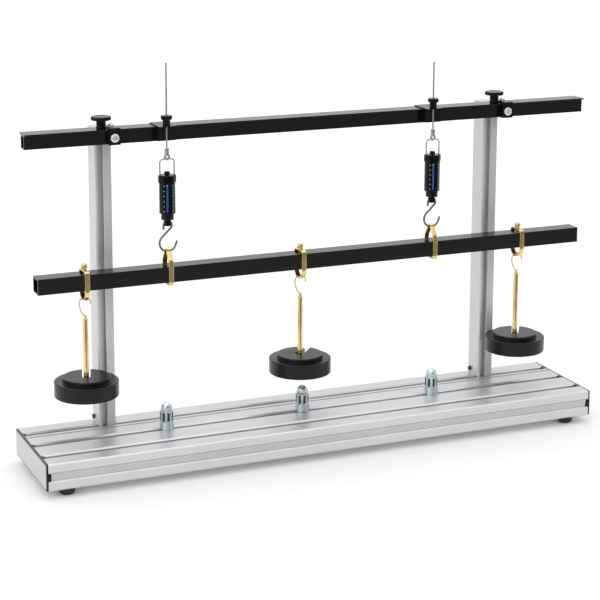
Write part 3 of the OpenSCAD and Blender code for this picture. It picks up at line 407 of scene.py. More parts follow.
def ribs(profile: np.ndarray, low: float, high: float, from_r: float, count: int, depth: float, sides: int,
         power: float = 1.0) -> np.ndarray:
    """Factors k = 1 - d |sin(n a / 2)|^p between two heights and beyond a radius, and 1 elsewhere.

    Args:
        profile: Radii and heights of the turned piece.
        low: Height at which the ribs start.
        high: Height at which they end.
        from_r: Radius beyond which the profile is ribbed.
        count: Ribs around.
        depth: Depth d as a share of the radius.
        sides: Points around.
        power: Exponent p, under 1 for narrow ribs.

    Returns:
        One row of factors for each profile point.
    """
    angle = np.linspace(0.0, 2.0 * math.pi, sides, endpoint=False)[None, :]
    radius, height = profile[:, 0:1], profile[:, 1:2]
    inside = ((height >= low) & (height <= high) & (radius > from_r)).astype(float)
    return 1.0 - inside * depth * np.abs(np.sin(angle * count / 2.0)) ** power


def swept(path: np.ndarray, section: np.ndarray, across: tuple[float, float, float],
          closed: bool = False) -> Surface:
    """Carries a section along a plane path: p(i, j) = P_i + u_j B + v_j (B x T_i).

    Args:
        path: Points P of the path.
        section: Offsets u and v of the section's points.
        across: Unit normal B of the path's plane.
        closed: Whether the path returns to its start.

    Returns:
        The swept grid, with closed ends where the path is open.
    """
    if closed:
        tangent = np.roll(path, -1, axis=0) - np.roll(path, 1, axis=0)
    else:
        tangent = np.gradient(path, axis=0)
    tangent /= np.linalg.norm(tangent, axis=1, keepdims=True)
    flat = np.array(across)
    side = np.cross(flat, tangent)
    if not closed:
        # Each end is drawn in over four rings: the section's share, and how far in each ring lies
        ease = np.array([0.0, 0.55, 0.85, 1.0])
        reach = float(np.abs(section).max()) * np.array([0.0, 0.02, 0.12, 0.4])
        path = np.concatenate([path[0] + tangent[0] * reach[:, None], path[1:-1],
                               path[-1] - tangent[-1] * reach[::-1, None]])
        side = np.concatenate([np.repeat(side[:1], 4, axis=0), side[1:-1], np.repeat(side[-1:], 4, axis=0)])
        share = np.concatenate([ease, np.ones(len(path) - 8), ease[::-1]])[:, None, None]
    else:
        share = 1.0
    offset = section[None, :, 0:1] * flat + section[None, :, 1:2] * side[:, None, :]
    return Surface(path[:, None, :] + share * offset, wrap_rows=closed, wrap_cols=True)


def upright(x: float, y: float, low: float, high: float, count: int) -> np.ndarray:
    """Evenly spaced points straight up from (x, y, low) to (x, y, high)."""
    return np.stack([np.full(count, x), np.full(count, y), np.linspace(low, high, count)], axis=-1)


def circle(radius: float, sides: int = 20) -> np.ndarray:
    """Points (r cos a, r sin a) of a circle."""
    angle = np.linspace(0.0, 2.0 * math.pi, sides, endpoint=False)
    return np.stack([radius * np.cos(angle), radius * np.sin(angle)], axis=-1)


def strip_section(width: float, thickness: float, edge: float) -> np.ndarray:
    """A rectangle with rounded corners, as a closed section."""
    a, b = width / 2.0, thickness / 2.0
    return filleted([(-a, -b), (a, -b), (a, b), (-a, b)], edge, closed=True, steps=4)


# The brass strip that all five stirrups are bent from
STRIP = strip_section(7.3, 2.2, 0.7)


def arc_xz(x: float, z: float, radius: float, first: float, last: float, count: int = 28) -> np.ndarray:
    """Points (x + r cos a, HANG_Y, z + r sin a), with a in degrees from first to last."""
    angle = np.radians(np.linspace(first, last, count))
    return np.stack([x + radius * np.cos(angle), np.full(count, HANG_Y), z + radius * np.sin(angle)], axis=-1)


def arc_yz(x: float, y: float, z: float, radius: float, first: float, last: float,
           count: int = 28) -> np.ndarray:
    """Points (x, y + r cos a, z + r sin a), with a in degrees from first to last."""
    angle = np.radians(np.linspace(first, last, count))
    return np.stack([np.full(count, x), y + radius * np.cos(angle), z + radius * np.sin(angle)], axis=-1)


def even(path: np.ndarray, step: float, closed: bool = False) -> np.ndarray:
    """Spaces a path's points evenly by arc length.

    Args:
        path: Points of the path.
        step: Distance between the new points in millimetres.
        closed: Whether the path returns to its start.

    Returns:
        The new points, without a repeated last point on a closed path.
    """
    if closed:
        path = np.concatenate([path, path[:1]])
    run = np.concatenate([[0.0], np.cumsum(np.linalg.norm(np.diff(path, axis=0), axis=1))])
    count = max(8, int(round(run[-1] / step)))
    at = np.linspace(0.0, run[-1], count + 1)[: count if closed else count + 1]
    return np.stack([np.interp(at, run, path[:, i]) for i in range(3)], axis=-1)


def wrapped_plate(x: float, middle: float, width: float, low: float, high: float, inner: float,
                  outer: float) -> Surface:
    """Bends a thin plate round an upright axis at (x, HANG_Y), with both ends closed.

    Args:
        x: Axis in X.
        middle: Direction of the plate's middle in degrees.
        width: Width of the plate along its outer face.
        low: Height of its lower edge.
        high: Height of its upper edge.
        inner: Radius of its hidden face.
        outer: Radius of its outer face.

    Returns:
        The closed grid.
    """
    half = math.degrees(width / 2.0 / outer)
    angle = np.radians(np.linspace(middle - half, middle + half, 7))
    angle = np.concatenate([angle[:1], angle, angle[-1:]])[:, None]
    section = np.array([(inner, low), (outer, low), (outer, high), (inner, high)])
    radius, height = section[None, :, 0] + 0.0 * angle, section[None, :, 1] + 0.0 * angle
    radius[[0, -1]], height[[0, -1]] = (inner + outer) / 2.0, (low + high) / 2.0
    return Surface(np.stack([x + radius * np.cos(angle), HANG_Y + radius * np.sin(angle), height], axis=-1),
                   wrap_cols=True)


@dataclass(frozen=True)
class Softbox:
    """One rectangular lamp: its place, the point that it faces, its width and height in metres, its power."""

    name: str
    place: tuple[float, float, float]
    aim: tuple[float, float, float]
    size: tuple[float, float]
    watts: float

    def hang(self) -> None:
        """Adds the lamp to the scene."""
        data = bpy.data.lights.new(self.name, "AREA")
        data.shape = "RECTANGLE"
        data.size, data.size_y = self.size
        data.energy = self.watts
        lamp = bpy.data.objects.new(self.name, data)
        lamp.location = self.place
        lamp.rotation_euler = (Vector(self.aim) - Vector(self.place)).to_track_quat("-Z", "Y").to_euler()
        bpy.context.scene.collection.objects.link(lamp)


@dataclass
class Studio:
    """Camera, pale floor, soft lamps and a white surround.

    The spans are pairs of distances in metres or of direction shares, and the glows are strengths of white.
    """

    place_mm: tuple[float, float, float] = (-1063.48, -2450.26, 931.12)
    yaw: float = 23.037
    pitch: float = -11.371
    roll: float = 0.181
    focal_px: float = 1842.44
    frame_px: float = 600.0
    sensor_mm: float = 36.0
    shift_y: float = -0.2
    floor_half_m: float = 30.0
    glow_span: Span = (0.7, 2.6)
    glow: Span = (0.04, 0.22)
    mirrored_glow: float = 0.30
    dim_floor_span: Span = (-0.45, -1.1)
    dim_floor_glow: float = 0.26
    diffuse_light: float = 0.85
    mirrored_wall: Span = (0.95, 0.26)
    front_span: Span = (-0.45, -0.75)
    right_span: Span = (-0.25, 0.1)
    zenith_span: Span = (0.72, 0.88)
    zenith_glow: float = 0.7

    def set_camera(self) -> None:
        """Places the camera, which looks along (sin y cos p, cos y cos p, sin p) and is rolled about that."""
        yaw, pitch, roll = (math.radians(v) for v in (self.yaw, self.pitch, self.roll))
        ahead = Vector((math.sin(yaw) * math.cos(pitch), math.cos(yaw) * math.cos(pitch), math.sin(pitch)))
        right = Vector((math.cos(yaw), -math.sin(yaw), 0.0))
        up = right.cross(ahead)
        turned_right = right * math.cos(roll) + up * math.sin(roll)
        turned_up = up * math.cos(roll) - right * math.sin(roll)
        data = bpy.data.cameras.new("camera")
        data.sensor_width = self.sensor_mm
        data.lens = self.focal_px * self.sensor_mm / self.frame_px
        data.shift_y = self.shift_y
        data.clip_start, data.clip_end = 0.05, 100.0
        camera = bpy.data.objects.new("camera", data)
        bpy.context.scene.collection.objects.link(camera)
        turn = Matrix((turned_right, turned_up, -ahead)).transposed().to_4x4()
        camera.matrix_world = Matrix.Translation(Vector(self.place_mm) * MM) @ turn
        bpy.context.scene.camera = camera

    def lay_floor(self, height: float) -> None:
        """Lays a wide pale floor that is white where nothing shades it.

        Args:
            height: Height of the floor in metres.
        """
        mesh = bpy.data.meshes.new("floor")
        far = self.floor_half_m
        mesh.from_pydata([(-far, -far, height), (far, -far, height), (far, far, height), (-far, far, height)],
                         [], [(0, 1, 2, 3)])
        floor = bpy.data.objects.new("floor", mesh)
        bpy.context.scene.collection.objects.link(floor)
        material = bpy.data.materials.new("pale_paper_floor")
        material.use_nodes = True
        tree = material.node_tree
        tree.nodes.clear()
        path = add_node(tree, "ShaderNodeLightPath")
        shade = add_node(tree, "ShaderNodeBsdfDiffuse", {"Color": linear("#e9e9ea")})
        white = add_node(tree, "ShaderNodeBsdfDiffuse", {"Color": WHITE})
        spot = add_node(tree, "ShaderNodeNewGeometry").outputs["Position"]
        away = add_node(tree, "ShaderNodeVectorMath", {"operation": "LENGTH"}, {0: spot})
        glow = add_node(tree, "ShaderNodeMapRange", soft_span(self.glow_span, self.glow),
                        {"Value": away.outputs["Value"]})
        glowing = add_node(tree, "ShaderNodeEmission", {"Color": WHITE}, {"Strength": glow.outputs[0]})
        lift = add_node(tree, "ShaderNodeEmission", {"Color": WHITE, "Strength": self.mirrored_glow})
        seen = add_node(tree, "ShaderNodeAddShader", {}, {0: white.outputs[0], 1: glowing.outputs[0]})
        shown = add_node(tree, "ShaderNodeAddShader", {}, {0: shade.outputs[0], 1: lift.outputs[0]})
        mirror = add_node(tree, "ShaderNodeMixShader", {},
                          {0: path.outputs["Is Glossy Ray"], 1: shade.outputs[0], 2: shown.outputs[0]})
        total = add_node(tree, "ShaderNodeMixShader", {},
                         {0: path.outputs["Is Camera Ray"], 1: mirror.outputs[0], 2: seen.outputs[0]})
        # The room's dimmer front, which only reflections show
        place = add_node(tree, "ShaderNodeSeparateXYZ", {}, {0: spot})
        ahead = add_node(tree, "ShaderNodeMapRange", soft_span(self.dim_floor_span),
                         {"Value": place.outputs["Y"]})
        mirrored = add_node(tree, "ShaderNodeMath", {"operation": "MULTIPLY"},
                            {0: ahead.outputs[0], 1: path.outputs["Is Glossy Ray"]})
        room = add_node(tree, "ShaderNodeEmission", {"Color": WHITE, "Strength": self.dim_floor_glow})
        whole = add_node(tree, "ShaderNodeMixShader", {},
                         {0: mirrored.outputs[0], 1: total.outputs[0], 2: room.outputs[0]})
        add_node(tree, "ShaderNodeOutputMaterial", {}, {"Surface": whole.outputs[0]})
        mesh.materials.append(material)
        floor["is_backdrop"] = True

    def surround(self) -> None:
        """Sets a surround that is plain white to the camera and dimmer as a light.

        In reflections its wall towards the front right is dim, and a large softbox overhead is bright.
        """
        world = bpy.data.worlds.new("white_surround")
        bpy.context.scene.world = world
        world.use_nodes = True
        tree = world.node_tree
        tree.nodes.clear()
        path = add_node(tree, "ShaderNodeLightPath")
        seen = add_node(tree, "ShaderNodeMath", {"operation": "MAXIMUM"},
                        {0: path.outputs["Is Camera Ray"], 1: path.outputs["Is Transmission Ray"]})
        lit = add_node(tree, "ShaderNodeBackground", {"Color": WHITE, "Strength": self.diffuse_light})
        ray = add_node(tree, "ShaderNodeSeparateXYZ", {},
                       {0: add_node(tree, "ShaderNodeTexCoord").outputs["Generated"]})
        front = add_node(tree, "ShaderNodeMapRange", soft_span(self.front_span), {"Value": ray.outputs["Y"]})
        right = add_node(tree, "ShaderNodeMapRange", soft_span(self.right_span), {"Value": ray.outputs["X"]})
        dim = add_node(tree, "ShaderNodeMath", {"operation": "MULTIPLY"},
                       {0: front.outputs[0], 1: right.outputs[0]})
        strength = add_node(tree, "ShaderNodeMapRange",
                            {"To Min": self.mirrored_wall[0], "To Max": self.mirrored_wall[1]},
                            {"Value": dim.outputs[0]})
        zenith = add_node(tree, "ShaderNodeMapRange", soft_span(self.zenith_span, (0.0, self.zenith_glow)),
                          {"Value": ray.outputs["Z"]})
        whole = add_node(tree, "ShaderNodeMath", {"operation": "ADD"},
                         {0: strength.outputs[0], 1: zenith.outputs[0]})
        gloss = add_node(tree, "ShaderNodeBackground", {"Color": WHITE}, {"Strength": whole.outputs[0]})
        plain = add_node(tree, "ShaderNodeBackground", {"Color": WHITE, "Strength": 1.0})
        first = add_node(tree, "ShaderNodeMixShader", {},
                         {0: path.outputs["Is Glossy Ray"], 1: lit.outputs[0], 2: gloss.outputs[0]})
        last = add_node(tree, "ShaderNodeMixShader", {},
                        {0: seen.outputs[0], 1: first.outputs[0], 2: plain.outputs[0]})
        add_node(tree, "ShaderNodeOutputWorld", {}, {"Surface": last.outputs[0]})

    def build(self, floor_z: float) -> None:
        """Builds the whole studio.

        Args:
            floor_z: Height of the floor in metres.
        """
        self.set_camera()
        self.lay_floor(floor_z)
        self.surround()
        Softbox("lamp_above", (0.1, 0.5, 2.4), (0.0, 0.0, 0.1), (2.6, 1.6), 14.0).hang()
        Softbox("lamp_left", (-2.2, -1.2, 1.6), (0.0, 0.0, 0.2), (1.2, 1.6), 8.0).hang()
        bpy.context.scene.view_settings.view_transform = "Standard"
        LOG.info("studio built")


@dataclass
class SlottedBase:
    """Base profile, end plates and covers, and the rubber feet."""

    half_l: float = 438.0
    half_w: float = 84.0
    inset_x: float = 34.0
    inset_y: float = 18.0
    foot_h: float = 11.5
    top_r: float = 13.5
    low_r: float = 10.0
    recess_r: float = 4.0
    recess_h: float = 4.0

    def build(self) -> None:
        """Dresses the profile and turns the four feet."""
        dress(ALUMINIUM_X, "base_profile")
        dress(PHENOLIC, "end_plates")
        dress(MILLED_ALUMINIUM, "end_covers")
        # The strip in the slot takes the aluminium with painted shade
        dress(SHADED_STRIP_ALUMINIUM, "slot_strip")
        self.make_feet()

    def make_feet(self) -> None:
        """Turns feet with a flared top lip, a soft lower edge and a screw recess."""
        h = self.foot_h
        corners = [(0.0, 0.0), (self.top_r, 0.0), (self.top_r, -1.2), (self.top_r - 1.0, -2.4),
                   (self.low_r + 0.9, -h + 1.6), (self.low_r - 0.6, -h), (self.recess_r, -h),
                   (self.recess_r, -h + self.recess_h), (0.0, -h + self.recess_h)]
        profile = filleted(corners, 0.9)
        x, y = self.half_l - self.inset_x, self.half_w - self.inset_y
        feet = [turned(profile, sx * x, sy * y, sides=56) for sx in (-1, 1) for sy in (-1, 1)]
        make_piece("rubber_feet", feet, FOOT_RUBBER, "frame", ("feet",))


@dataclass
class Frame:
    """Uprights, crossbar, brackets and clamp knobs."""

    upright_x: dict[Side, float] = field(default_factory=lambda: {Side.LEFT: -309.0, Side.RIGHT: 321.0})
    knob_ribs: int = 24
    knob_offset: float = 10.0
    jaw_offset: float = 4.5
    bar_y: float = 18.5
    bar_top_z: float = 489.0
    jaw_front_y: float = 0.4
    jaw_mid_z: float = 477.0
    arm_t: float = 2.4
    cross_arm: float = 0.13
    cross_reach: float = 0.55
    cross_depth: float = 0.62
    washer_t: float = 0.9

    def build(self) -> None:
        """Dresses the bars and makes knobs and screws."""
        dress(ALUMINIUM_Z, "upright_left", "upright_right", "upright_caps")
        dress(BLACK_TUBE, "crossbar")
        dress(BLACK_OXIDE, "clamp_blocks", "clamp_arms", "clamp_jaws", "foot_bolts")
        dress(ZINC, "clamp_nuts")
        for side in Side:
            self.make_knob(side)
        self.make_screws()

    def make_knob(self, side: Side) -> None:
        """Turns a knob with a ribbed disc, a neck and a flange.

        Args:
            side: Upright that the knob clamps.
        """
        base = self.bar_top_z + 0.3
        low = base + 11.7
        corners = [(0.0, base - 9.0), (2.9, base - 9.0), (2.9, base), (7.2, base), (7.2, base + 3.2),
                   (6.2, base + 3.6), (6.2, base + 4.6), (6.9, base + 5.0), (6.9, low - 1.2), (9.4, low),
                   (13.6, low), (14.25, low + 0.8), (14.25, low + 4.7), (13.4, low + 5.5), (8.0, low + 5.45),
                   (7.2, low + 5.0), (0.0, low + 5.3)]
        profile = filleted(corners, 0.7)
        sides = 288
        ripple = ribs(profile, low - 0.01, low + 5.49, 12.0, self.knob_ribs, 0.045, sides, power=0.8)
        knob = turned(profile, self.upright_x[side] - self.knob_offset, self.bar_y, sides, ripple)
        name = "knob_" + side.value
        make_piece(name, [knob], PHENOLIC, name, ("clamp_" + name,))

    def pan_head(self, radius: float, height: float) -> np.ndarray:
        """Points of a pan head with a cross recess, in its own frame with Z out of the head.

        Args:
            radius: Radius R of the head.
            height: Height h of the head.

        Returns:
            A grid of points: z = h (0.35 + 0.65 (1 - (r / R)^4)^0.5), less the cross's depth where |x| or |y|
            is small, and a wall down to z = 0.
        """
        rows, sides = 26, 96
        share = np.linspace(1.0, 0.0, rows)[:, None]
        angle = np.linspace(0.0, 2.0 * math.pi, sides, endpoint=False)[None, :]
        r = radius * share * np.ones_like(angle)
        a, b = r * np.cos(angle), r * np.sin(angle)
        z = height * (0.35 + 0.65 * np.sqrt(np.clip(1.0 - share ** 4, 0.0, 1.0))) * np.ones_like(angle)
        arm, reach = radius * self.cross_arm, radius * self.cross_reach
        cross = ((np.abs(a) < arm) & (np.abs(b) < reach)) | ((np.abs(b) < arm) & (np.abs(a) < reach))
        z = z - np.where(cross, height * self.cross_depth, 0.0)
        wall = np.stack([a[0], b[0], np.zeros(sides)], axis=-1)[None]
        return np.concatenate([wall, np.stack([a, b, z], axis=-1)])

    def make_screws(self) -> None:
        """Sets a large pan head on each jaw and a small one with a washer on each arm."""
        grids = []
        large, small = self.pan_head(6.2, 3.3), self.pan_head(4.2, 3.0)
        ring = [(2.0, 0.0), (4.3, 0.0), (4.3, self.washer_t), (2.0, self.washer_t)]
        washer = turned(filleted(ring, 0.2, closed=True), 0.0, 0.0, sides=48, closed=True).points
        top = self.bar_top_z + self.arm_t
        for side in Side:
            x = self.upright_x[side] + self.jaw_offset
            faced = np.stack([large[..., 0] + x, self.jaw_front_y - large[..., 2],
                              large[..., 1] + self.jaw_mid_z], axis=-1)
            grids.append(Surface(faced, wrap_cols=True))
            grids.append(Surface(small + np.array([x, self.bar_y, top + self.washer_t]), wrap_cols=True))
            grids.append(Surface(washer + np.array([x, self.bar_y, top]), wrap_rows=True, wrap_cols=True))
        # The pan heads take the copy of the nickel that is painted light
        make_piece("bracket_screws", grids, LIT_SCREW_NICKEL, "frame", ("clamp_screws",), 24.0)


@dataclass
class SpringBalance:
    """Slider, nut, rod, clevis, bail, body and S-hook of one balance."""

    side: Side
    x: float
    nut_z: float = 490.5
    top_z: float = 419.6
    body_z: float = 364.1
    step_z: float = 354.6
    spring_floor_z: float = 367.9
    body_r: float = 11.7
    bore_r: float = 8.9
    rod_r: float = 1.3
    bail_half: float = 10.8
    bail_bar_z: float = 443.0
    bail_wire_r: float = 1.1
    rod_low_z: float = 454.5
    hook_top_z: float = 345.7
    hook_top_r: float = 6.3
    hook_low_z: float = 319.9
    hook_low_r: float = 12.4
    hook_wire_r: float = 1.6
    hook_lean: float = 46.5
    tip_lean: float = 20.0
    scale_turn: float = -108.0
    nut_ribs: int = 36
    zero_ribs: int = 14
    dots: int = 6
    dashes: int = 16

    def build(self) -> None:
        """Builds every piece of the balance."""
        name = self.side.value
        dress(BLACK_OXIDE, "slider_" + name)
        dress(NICKEL, "lift_rod_" + name, "balance_spring_" + name)
        dress(BALANCE_PLASTIC, "plunger_" + name)
        self.make_nut()
        self.make_clevis()
        self.make_bail()
        self.make_body()
        self.make_scale()
        self.make_zero_knob()
        self.make_hook()

    def piece(self, name: str, surfaces: list[Surface], finish: Finish, body: str, *stands_for: str,
              sharp_deg: float = 34.0) -> None:
        """Makes one piece of this side's balance.

        Args:
            name: Name of the piece without its side.
            surfaces: Grids of the piece.
            finish: Finish of the piece.
            body: Body without its side.
            stands_for: Replaced nodes without their side.
            sharp_deg: Angle from which an edge is sharp.
        """
        side = "_" + self.side.value
        replaced = tuple(node + side for node in stands_for)
        make_piece(name + side, surfaces, finish, body + side, replaced, sharp_deg)

    def make_nut(self) -> None:
        """Turns the knurled nut, hollow around the rod."""
        z = self.nut_z
        corners = [(1.4, z), (5.4, z), (5.4, z + 8.6), (7.6, z + 9.2), (8.1, z + 9.8), (8.1, z + 14.2),
                   (7.4, z + 14.9), (1.4, z + 14.9)]
        profile = filleted(corners, 0.5, closed=True)
        sides = 288
        ripple = ribs(profile, z + 9.3, z + 14.6, 6.0, self.nut_ribs, 0.035, sides)
        self.piece("knurled_nut", [turned(profile, self.x, HANG_Y, sides, ripple, closed=True)], PHENOLIC,
                   "nut", "lift_nut")

    def make_clevis(self) -> None:
        """Turns the ferrule on the rod's end, with a thick eye ring for the bail under it."""
        low, high = self.bail_bar_z + 6.2, self.rod_low_z + 3.5
        corners = [(self.rod_r, low), (2.6, low), (3.5, low + 1.0), (3.5, low + 3.2), (3.1, low + 3.5),
                   (3.1, low + 3.9), (3.5, low + 4.2), (3.5, high - 0.8), (2.9, high), (self.rod_r, high)]
        ferrule = turned(filleted(corners, 0.35, closed=True), self.x, HANG_Y, sides=48, closed=True)
        lean = np.radians(np.linspace(90.0, 90.0 + 360.0, 48, endpoint=False))
        ring = np.stack([self.x + 3.1 * np.cos(lean), np.full(48, HANG_Y),
                         self.bail_bar_z + 2.6 + 3.5 * np.sin(lean)], axis=-1)
        section = circle(1.0, 20) * np.array([2.3, 1.9])
        self.piece("clevis_eye", [ferrule, swept(ring, section, THROUGH_PLANE, closed=True)], NICKEL,
                   "balance", "clevis", sharp_deg=44.0)

    def make_bail(self) -> None:
        """Bends the bail's wire from one ear of the body to the other."""
        half, top, low = self.bail_half, self.bail_bar_z, self.top_z - 4.0
        corners = [(-half, low), (-half, top - 1.6), (-2.5, top), (2.5, top), (half, top - 1.6), (half, low)]
        outline = filleted(corners, 4.6, steps=12)
        path = np.stack([self.x + outline[:, 0], np.full(len(outline), HANG_Y), outline[:, 1]], axis=-1)
        self.piece("bail_wire", [swept(even(path, 0.9), circle(self.bail_wire_r), THROUGH_PLANE)], NICKEL,
                   "balance", "bail")

    def make_body(self) -> None:
        """Turns the hollow body with a window for the scale and sets two ears on it."""
        r, top, low, step = self.body_r, self.top_z, self.body_z, self.step_z
        window_low, window_high = low + 2.0, top - 13.0
        corners = [(6.4, step), (9.2, step), (9.2, low - 0.6), (10.4, low), (r + 0.25, low),
                   (r + 0.25, low + 1.4), (r, low + 1.6), (r, window_low), (r, window_low + 0.3),
                   (r, window_high - 0.3), (r, window_high), (r, top - 12.2), (r + 0.3, top - 11.8),
                   (r + 0.3, top - 0.9), (r - 0.6, top), (2.3, top), (2.3, top - 3.0),
                   (self.bore_r, top - 3.0), (self.bore_r, self.spring_floor_z),
                   (2.3, self.spring_floor_z), (2.3, step + 10.3), (6.4, step + 10.3)]
        profile = filleted(corners, 0.35, closed=True, steps=4)
        sides = 360
        angle = np.degrees(np.linspace(0.0, 2.0 * math.pi, sides, endpoint=False))[None, :]
        away = np.abs((angle - self.scale_turn + 180.0) % 360.0 - 180.0)
        tall = (profile[:, 1:2] > window_low + 0.2) & (profile[:, 1:2] < window_high - 0.2)
        outer = profile[:, 0:1] > r - 0.1
        # The window is 22 degrees wide and 5 % of the radius deep, with a shallow groove on either side of it
        ripple = 1.0 - 0.05 * (tall & outer & (away < 11.0)) - 0.012 * (outer & (np.abs(away - 34.0) < 2.6))
        ears = []
        for sign in (-1.0, 1.0):
            path = upright(self.x + sign * (r - 0.9), HANG_Y, top - 11.0, top + 0.15, 14)
            ears.append(swept(path, strip_section(6.6, 4.2, 0.8), THROUGH_PLANE))
        self.piece("balance_case", [turned(profile, self.x, HANG_Y, sides, ripple, closed=True), *ears],
                   BALANCE_PLASTIC, "balance", "balance_body", sharp_deg=30.0)

    def make_scale(self) -> None:
        """Sets the blue strip in the window and prints dots to its left and dashes to its right.

        Every third dash is a long one, and a small white mark tops the strip.
        """
        x, turn, low, high = self.x, self.scale_turn, self.body_z + 3.0, self.top_z - 14.0
        strip = wrapped_plate(x, turn, 2.5, low, high, 10.8, 11.3)
        self.piece("blue_strip", [strip], BLUE_STRIP, "balance", "scale_strip")
        inner, outer = self.body_r - 0.2, self.body_r + 0.04
        marks = [wrapped_plate(x, turn, 1.7, high - 0.2, high + 1.3, 10.8, 11.45)]
        for i in range(self.dots):
            z = low + 0.8 + i * (high - low - 1.6) / (self.dots - 1)
            marks.append(wrapped_plate(x, turn - 23.0, 1.15, z - 0.55, z + 0.55, inner, outer))
        for i in range(self.dashes):
            z = low + i * (high - low) / (self.dashes - 1)
            width = 2.6 if i % 3 == 0 else 1.5
            marks.append(wrapped_plate(x, turn + 44.0, width, z - 0.22, z + 0.22, inner, outer))
        self.piece("scale_print", marks, WHITE_PRINT, "balance")

    def make_zero_knob(self) -> None:
        """Turns the small ribbed knob on the body's top."""
        z = self.top_z
        corners = [(0.0, z - 2.8), (1.9, z - 2.8), (1.9, z + 0.3), (3.6, z + 0.3), (4.2, z + 0.8),
                   (4.2, z + 4.0), (3.4, z + 5.0), (0.0, z + 5.3)]
        profile = filleted(corners, 0.5)
        sides = 192
        ripple = ribs(profile, z + 0.6, z + 4.4, 3.8, self.zero_ribs, 0.09, sides)
        self.piece("ribbed_zero_knob", [turned(profile, self.x, HANG_Y, sides, ripple)], BALANCE_PLASTIC,
                   "balance", "zero_knob")

    def make_hook(self) -> None:
        """Bends the S-hook: a small upper turn, a slanted stretch and a large lower turn."""
        x, z1, r1, z2, r2 = self.x, self.hook_top_z, self.hook_top_r, self.hook_low_z, self.hook_low_r
        lean = math.radians(self.tip_lean)
        upper_tip = np.array([[x - r1, HANG_Y, z1 - 6.0], [x - r1, HANG_Y, z1 - 3.0]])
        lower_end = np.array([x + r2 * math.cos(lean), HANG_Y, z2 - r2 * math.sin(lean)])
        ahead = np.array([math.sin(lean), 0.0, math.cos(lean)])
        lower_tip = lower_end + np.array([[0.5], [1.0]]) * 7.0 * ahead
        path = np.concatenate([
            upper_tip,
            arc_xz(x, z1, r1, 180.0, -self.hook_lean, 40),
            arc_xz(x, z2, r2, 180.0 - self.hook_lean, 360.0 - self.tip_lean, 60),
            lower_tip])
        self.piece("bent_s_hook", [swept(even(path, 0.9), circle(self.hook_wire_r, 24), THROUGH_PLANE)],
                   STEEL_WIRE, "plunger_body", "s_hook")


@dataclass
class LeverBeam:
    """The square beam and its two hanging stirrups."""

    loops: dict[Side, float] = field(default_factory=lambda: dict(BALANCE_X))
    low_z: float = 259.9
    half: float = 14.5
    shoulder_z: float = 292.85
    arch_z: float = 308.2
    arch_r: float = 3.3

    def build(self) -> None:
        """Dresses the beam and bends the hanging stirrups."""
        dress(BLACK_TUBE, "beam")
        for side, x in self.loops.items():
            self.make_loop(side, x)

    def make_loop(self, side: Side, x: float) -> None:
        """Bends one strip round the beam and draws it in to a narrow arch on the S-hook.

        Args:
            side: Side of the loop.
            x: Place of the loop.
        """
        a, b = self.half, self.arch_r
        sides = [(-b, self.arch_z), (-a, self.shoulder_z), (-a, self.low_z), (a, self.low_z),
                 (a, self.shoulder_z), (b, self.arch_z)]
        outline = filleted(sides, 4.6, steps=9)
        rise = np.radians(np.linspace(0.0, 180.0, 14)[1:-1])
        arch = np.stack([b * np.cos(rise), self.arch_z + b * np.sin(rise)], axis=-1)
        outline = np.concatenate([outline, arch])
        path = np.stack([np.full(len(outline), x), HANG_Y + outline[:, 0], outline[:, 1]], axis=-1)
        strip = swept(even(path, 0.8, closed=True), STRIP, ALONG_BEAM, closed=True)
        make_piece("hanging_loop_" + side.value, [strip], BRASS, "loop_" + side.value,
                   ("hanging_stirrup_" + side.value,), 50.0)


